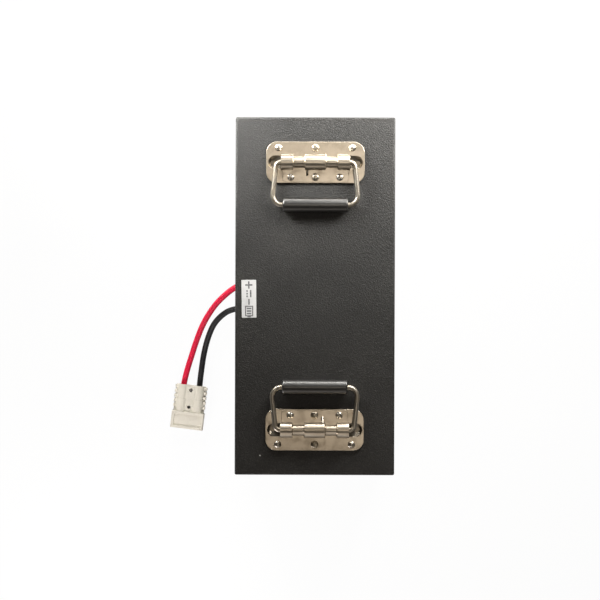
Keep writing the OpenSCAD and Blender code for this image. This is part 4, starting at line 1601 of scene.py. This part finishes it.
@dataclass
class Studio:
    """The floor, the light and the camera, which looks straight down."""

    eye: tuple[float, float] = (-0.0152, -0.00396)
    distance: float = 2.96
    view_w: float = 0.6086
    sensor_mm: float = 36.0
    roll_deg: float = 0.2
    reach: float = 50.0
    floor_size: float = 12.0
    floor_z: float = -0.0005
    floor_grey: float = 0.92
    floor_glow: float = 0.96
    horizon: float = 0.03
    zenith: float = 0.02
    plug_turn: float = -7.0
    plug_cover: tuple[float, float, float] = (0.034, 0.046, 1.0)

    def build(self) -> None:
        """Makes the camera, the lamps, the world and the floor."""
        self.build_camera()
        self.build_lamps()
        self.build_world()
        self.build_floor()
        bpy.context.scene.view_settings.view_transform = "Standard"

    def build_camera(self) -> None:
        """Makes the camera above the lid."""
        camera = bpy.data.cameras.new("camera")
        camera.sensor_width = self.sensor_mm
        camera.lens = self.sensor_mm * self.distance / self.view_w
        camera.clip_end = self.reach
        seat = shown("camera", camera)
        seat.location = (*self.eye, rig.box("lid")[1].z + self.distance)
        seat.rotation_euler = (0, 0, math.radians(self.roll_deg))
        bpy.context.scene.camera = seat

    def build_lamps(self) -> None:
        """Makes the lamps: one at each rear corner, a high and a low one behind, and weaker ones around."""
        lamps = [
            ("left_lamp", (-0.23, 0.28, 0.39), (0.30, 0.40, 0.20), (0.16, 0.16), 3.9, (1.0, 1.0, 0.97)),
            ("right_lamp", (0.25, 0.29, 0.42), (-0.30, 0.24, 0.20), (0.16, 0.16), 3.0, (1.0, 0.98, 0.94)),
            ("high_lamp", (0.17, 0.50, 0.60), (0.17, 0.50, 0.0), (0.24, 0.15), 2.6, (1.0, 0.97, 0.92)),
            ("middle_lamp", (0.05, 0.12, 0.62), (0.05, 0.12, 0.0), (0.16, 0.08), 0.04, (1.0, 0.96, 0.90)),
            ("key_lamp", (0.0, 0.88, 0.32), (0.0, 0.0, 0.27), (1.00, 0.18), 10.5, (1.0, 0.97, 0.92)),
            ("front_lamp", (0.0, -0.42, 0.40), (0.0, -0.12, 0.25), (0.36, 0.24), 0.20, (1.0, 0.92, 0.84)),
            ("bench_lamp", (0.14, -0.20, 0.50), (0.14, -0.20, 0.0), (0.08, 0.08), 0.05, (1.0, 0.93, 0.84)),
            ("plug_lamp", (-0.24, -0.40, 0.22), (-0.13, -0.10, 0.01), (0.20, 0.03), 1.1, (1.0, 0.95, 0.96)),
            ("ceiling_lamp", (0.06, 0.04, 2.90), (0.0, 0.0, 0.0), (0.50, 0.50), 3.1, (1.0, 0.88, 0.74)),
        ]
        for lamp in lamps:
            Lamp(*lamp).hang()

    def build_world(self) -> None:
        """Makes a dim warm world, a little darker overhead, which the camera sees as white."""
        white, warm = (1.0, 1.0, 1.0), (1.0, 0.79, 0.55)
        sky = Sky("studio")
        _, _, height = sky.axes(sky.node("ShaderNodeTexCoord"))
        levels = {"To Min": self.horizon, "To Max": self.zenith}
        rise = {"Value": height, "From Min": 0.35, "From Max": 0.75, **levels}
        level = sky.node("ShaderNodeMapRange", {"interpolation_type": "SMOOTHSTEP"}, rise)
        seen = sky.ray("Is Camera Ray")
        light = {"Color": sky.mix(seen, warm, white), "Strength": level.higher(seen)}
        sky.end(sky.node("ShaderNodeBackground", {}, light))
        bpy.context.scene.world = sky.world

    def build_floor(self) -> None:
        """Makes the white floor, which keeps a pale shadow of the box."""
        half, low = self.floor_size / 2, self.floor_z
        corners = [(-half, -half, low), (half, -half, low), (half, half, low), (-half, half, low)]
        mesh = bpy.data.meshes.new("floor")
        mesh.from_pydata(corners, [], [(0, 1, 2, 3)])
        shader = Shader("white_floor")
        seen = shader.ray("Is Camera Ray").higher(shader.ray("Is Glossy Ray"))
        seen = seen.higher(shader.ray("Is Transmission Ray"))
        matt = shader.node("ShaderNodeBsdfDiffuse", {}, {"Color": (*(self.floor_grey,) * 3, 1.0)})
        white = shader.node("ShaderNodeEmission", {}, {"Color": (1, 1, 1, 1), "Strength": 1.0})
        shining = seen * self.floor_glow * (1.0 - self.under_plug(shader))
        shader.end(shader.node("ShaderNodeMixShader", {}, {0: shining, 1: matt, 2: white}))
        mesh.materials.append(shader.material)
        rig.stage(shown("floor", mesh))

    def under_plug(self, shader: Shader) -> Socket:
        """One on the floor that the plug covers, which is dark where its fixing holes show it.

        Args:
            shader: the floor's shader.

        Returns:
            The mask.
        """
        middle, turn = centre("plug_housing", 0.0), math.radians(self.plug_turn)
        across, along, _ = shader.axes(shader.mapped(middle, turn, self.plug_cover))
        return (abs(across) < 0.5) * (abs(along) < 0.5)


def write_sizes() -> None:
    """Writes the box of the solids and of the finished model."""
    boxes = {
        "cad": [list(corner) for corner in CAD_BOX],
        "visual": [list(corner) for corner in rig.bounds()],
    }
    with open("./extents.json", "w", encoding="utf-8") as file:
        json.dump(boxes, file)


def main() -> None:
    """Builds the studio and every piece of the box, in order."""
    logging.basicConfig(level=logging.INFO, format="%(message)s")
    Studio().build()
    finishes = Finishes(label_film())
    plug = Plug(finishes).build()
    Leads(finishes).build({
        Pole.POSITIVE: [plug["plug_housing"], plug["positive_contact"], plug["contact_springs"]],
        Pole.NEGATIVE: [plug["negative_contact"]],
    })
    Case(finishes).build()
    handles = [Handle(finishes, end) for end in End]
    for handle in handles:
        handle.build()
    Fasteners(finishes, handles).build()
    Contents(finishes).dress()
    write_sizes()


if __name__ == "__main__":
    main()
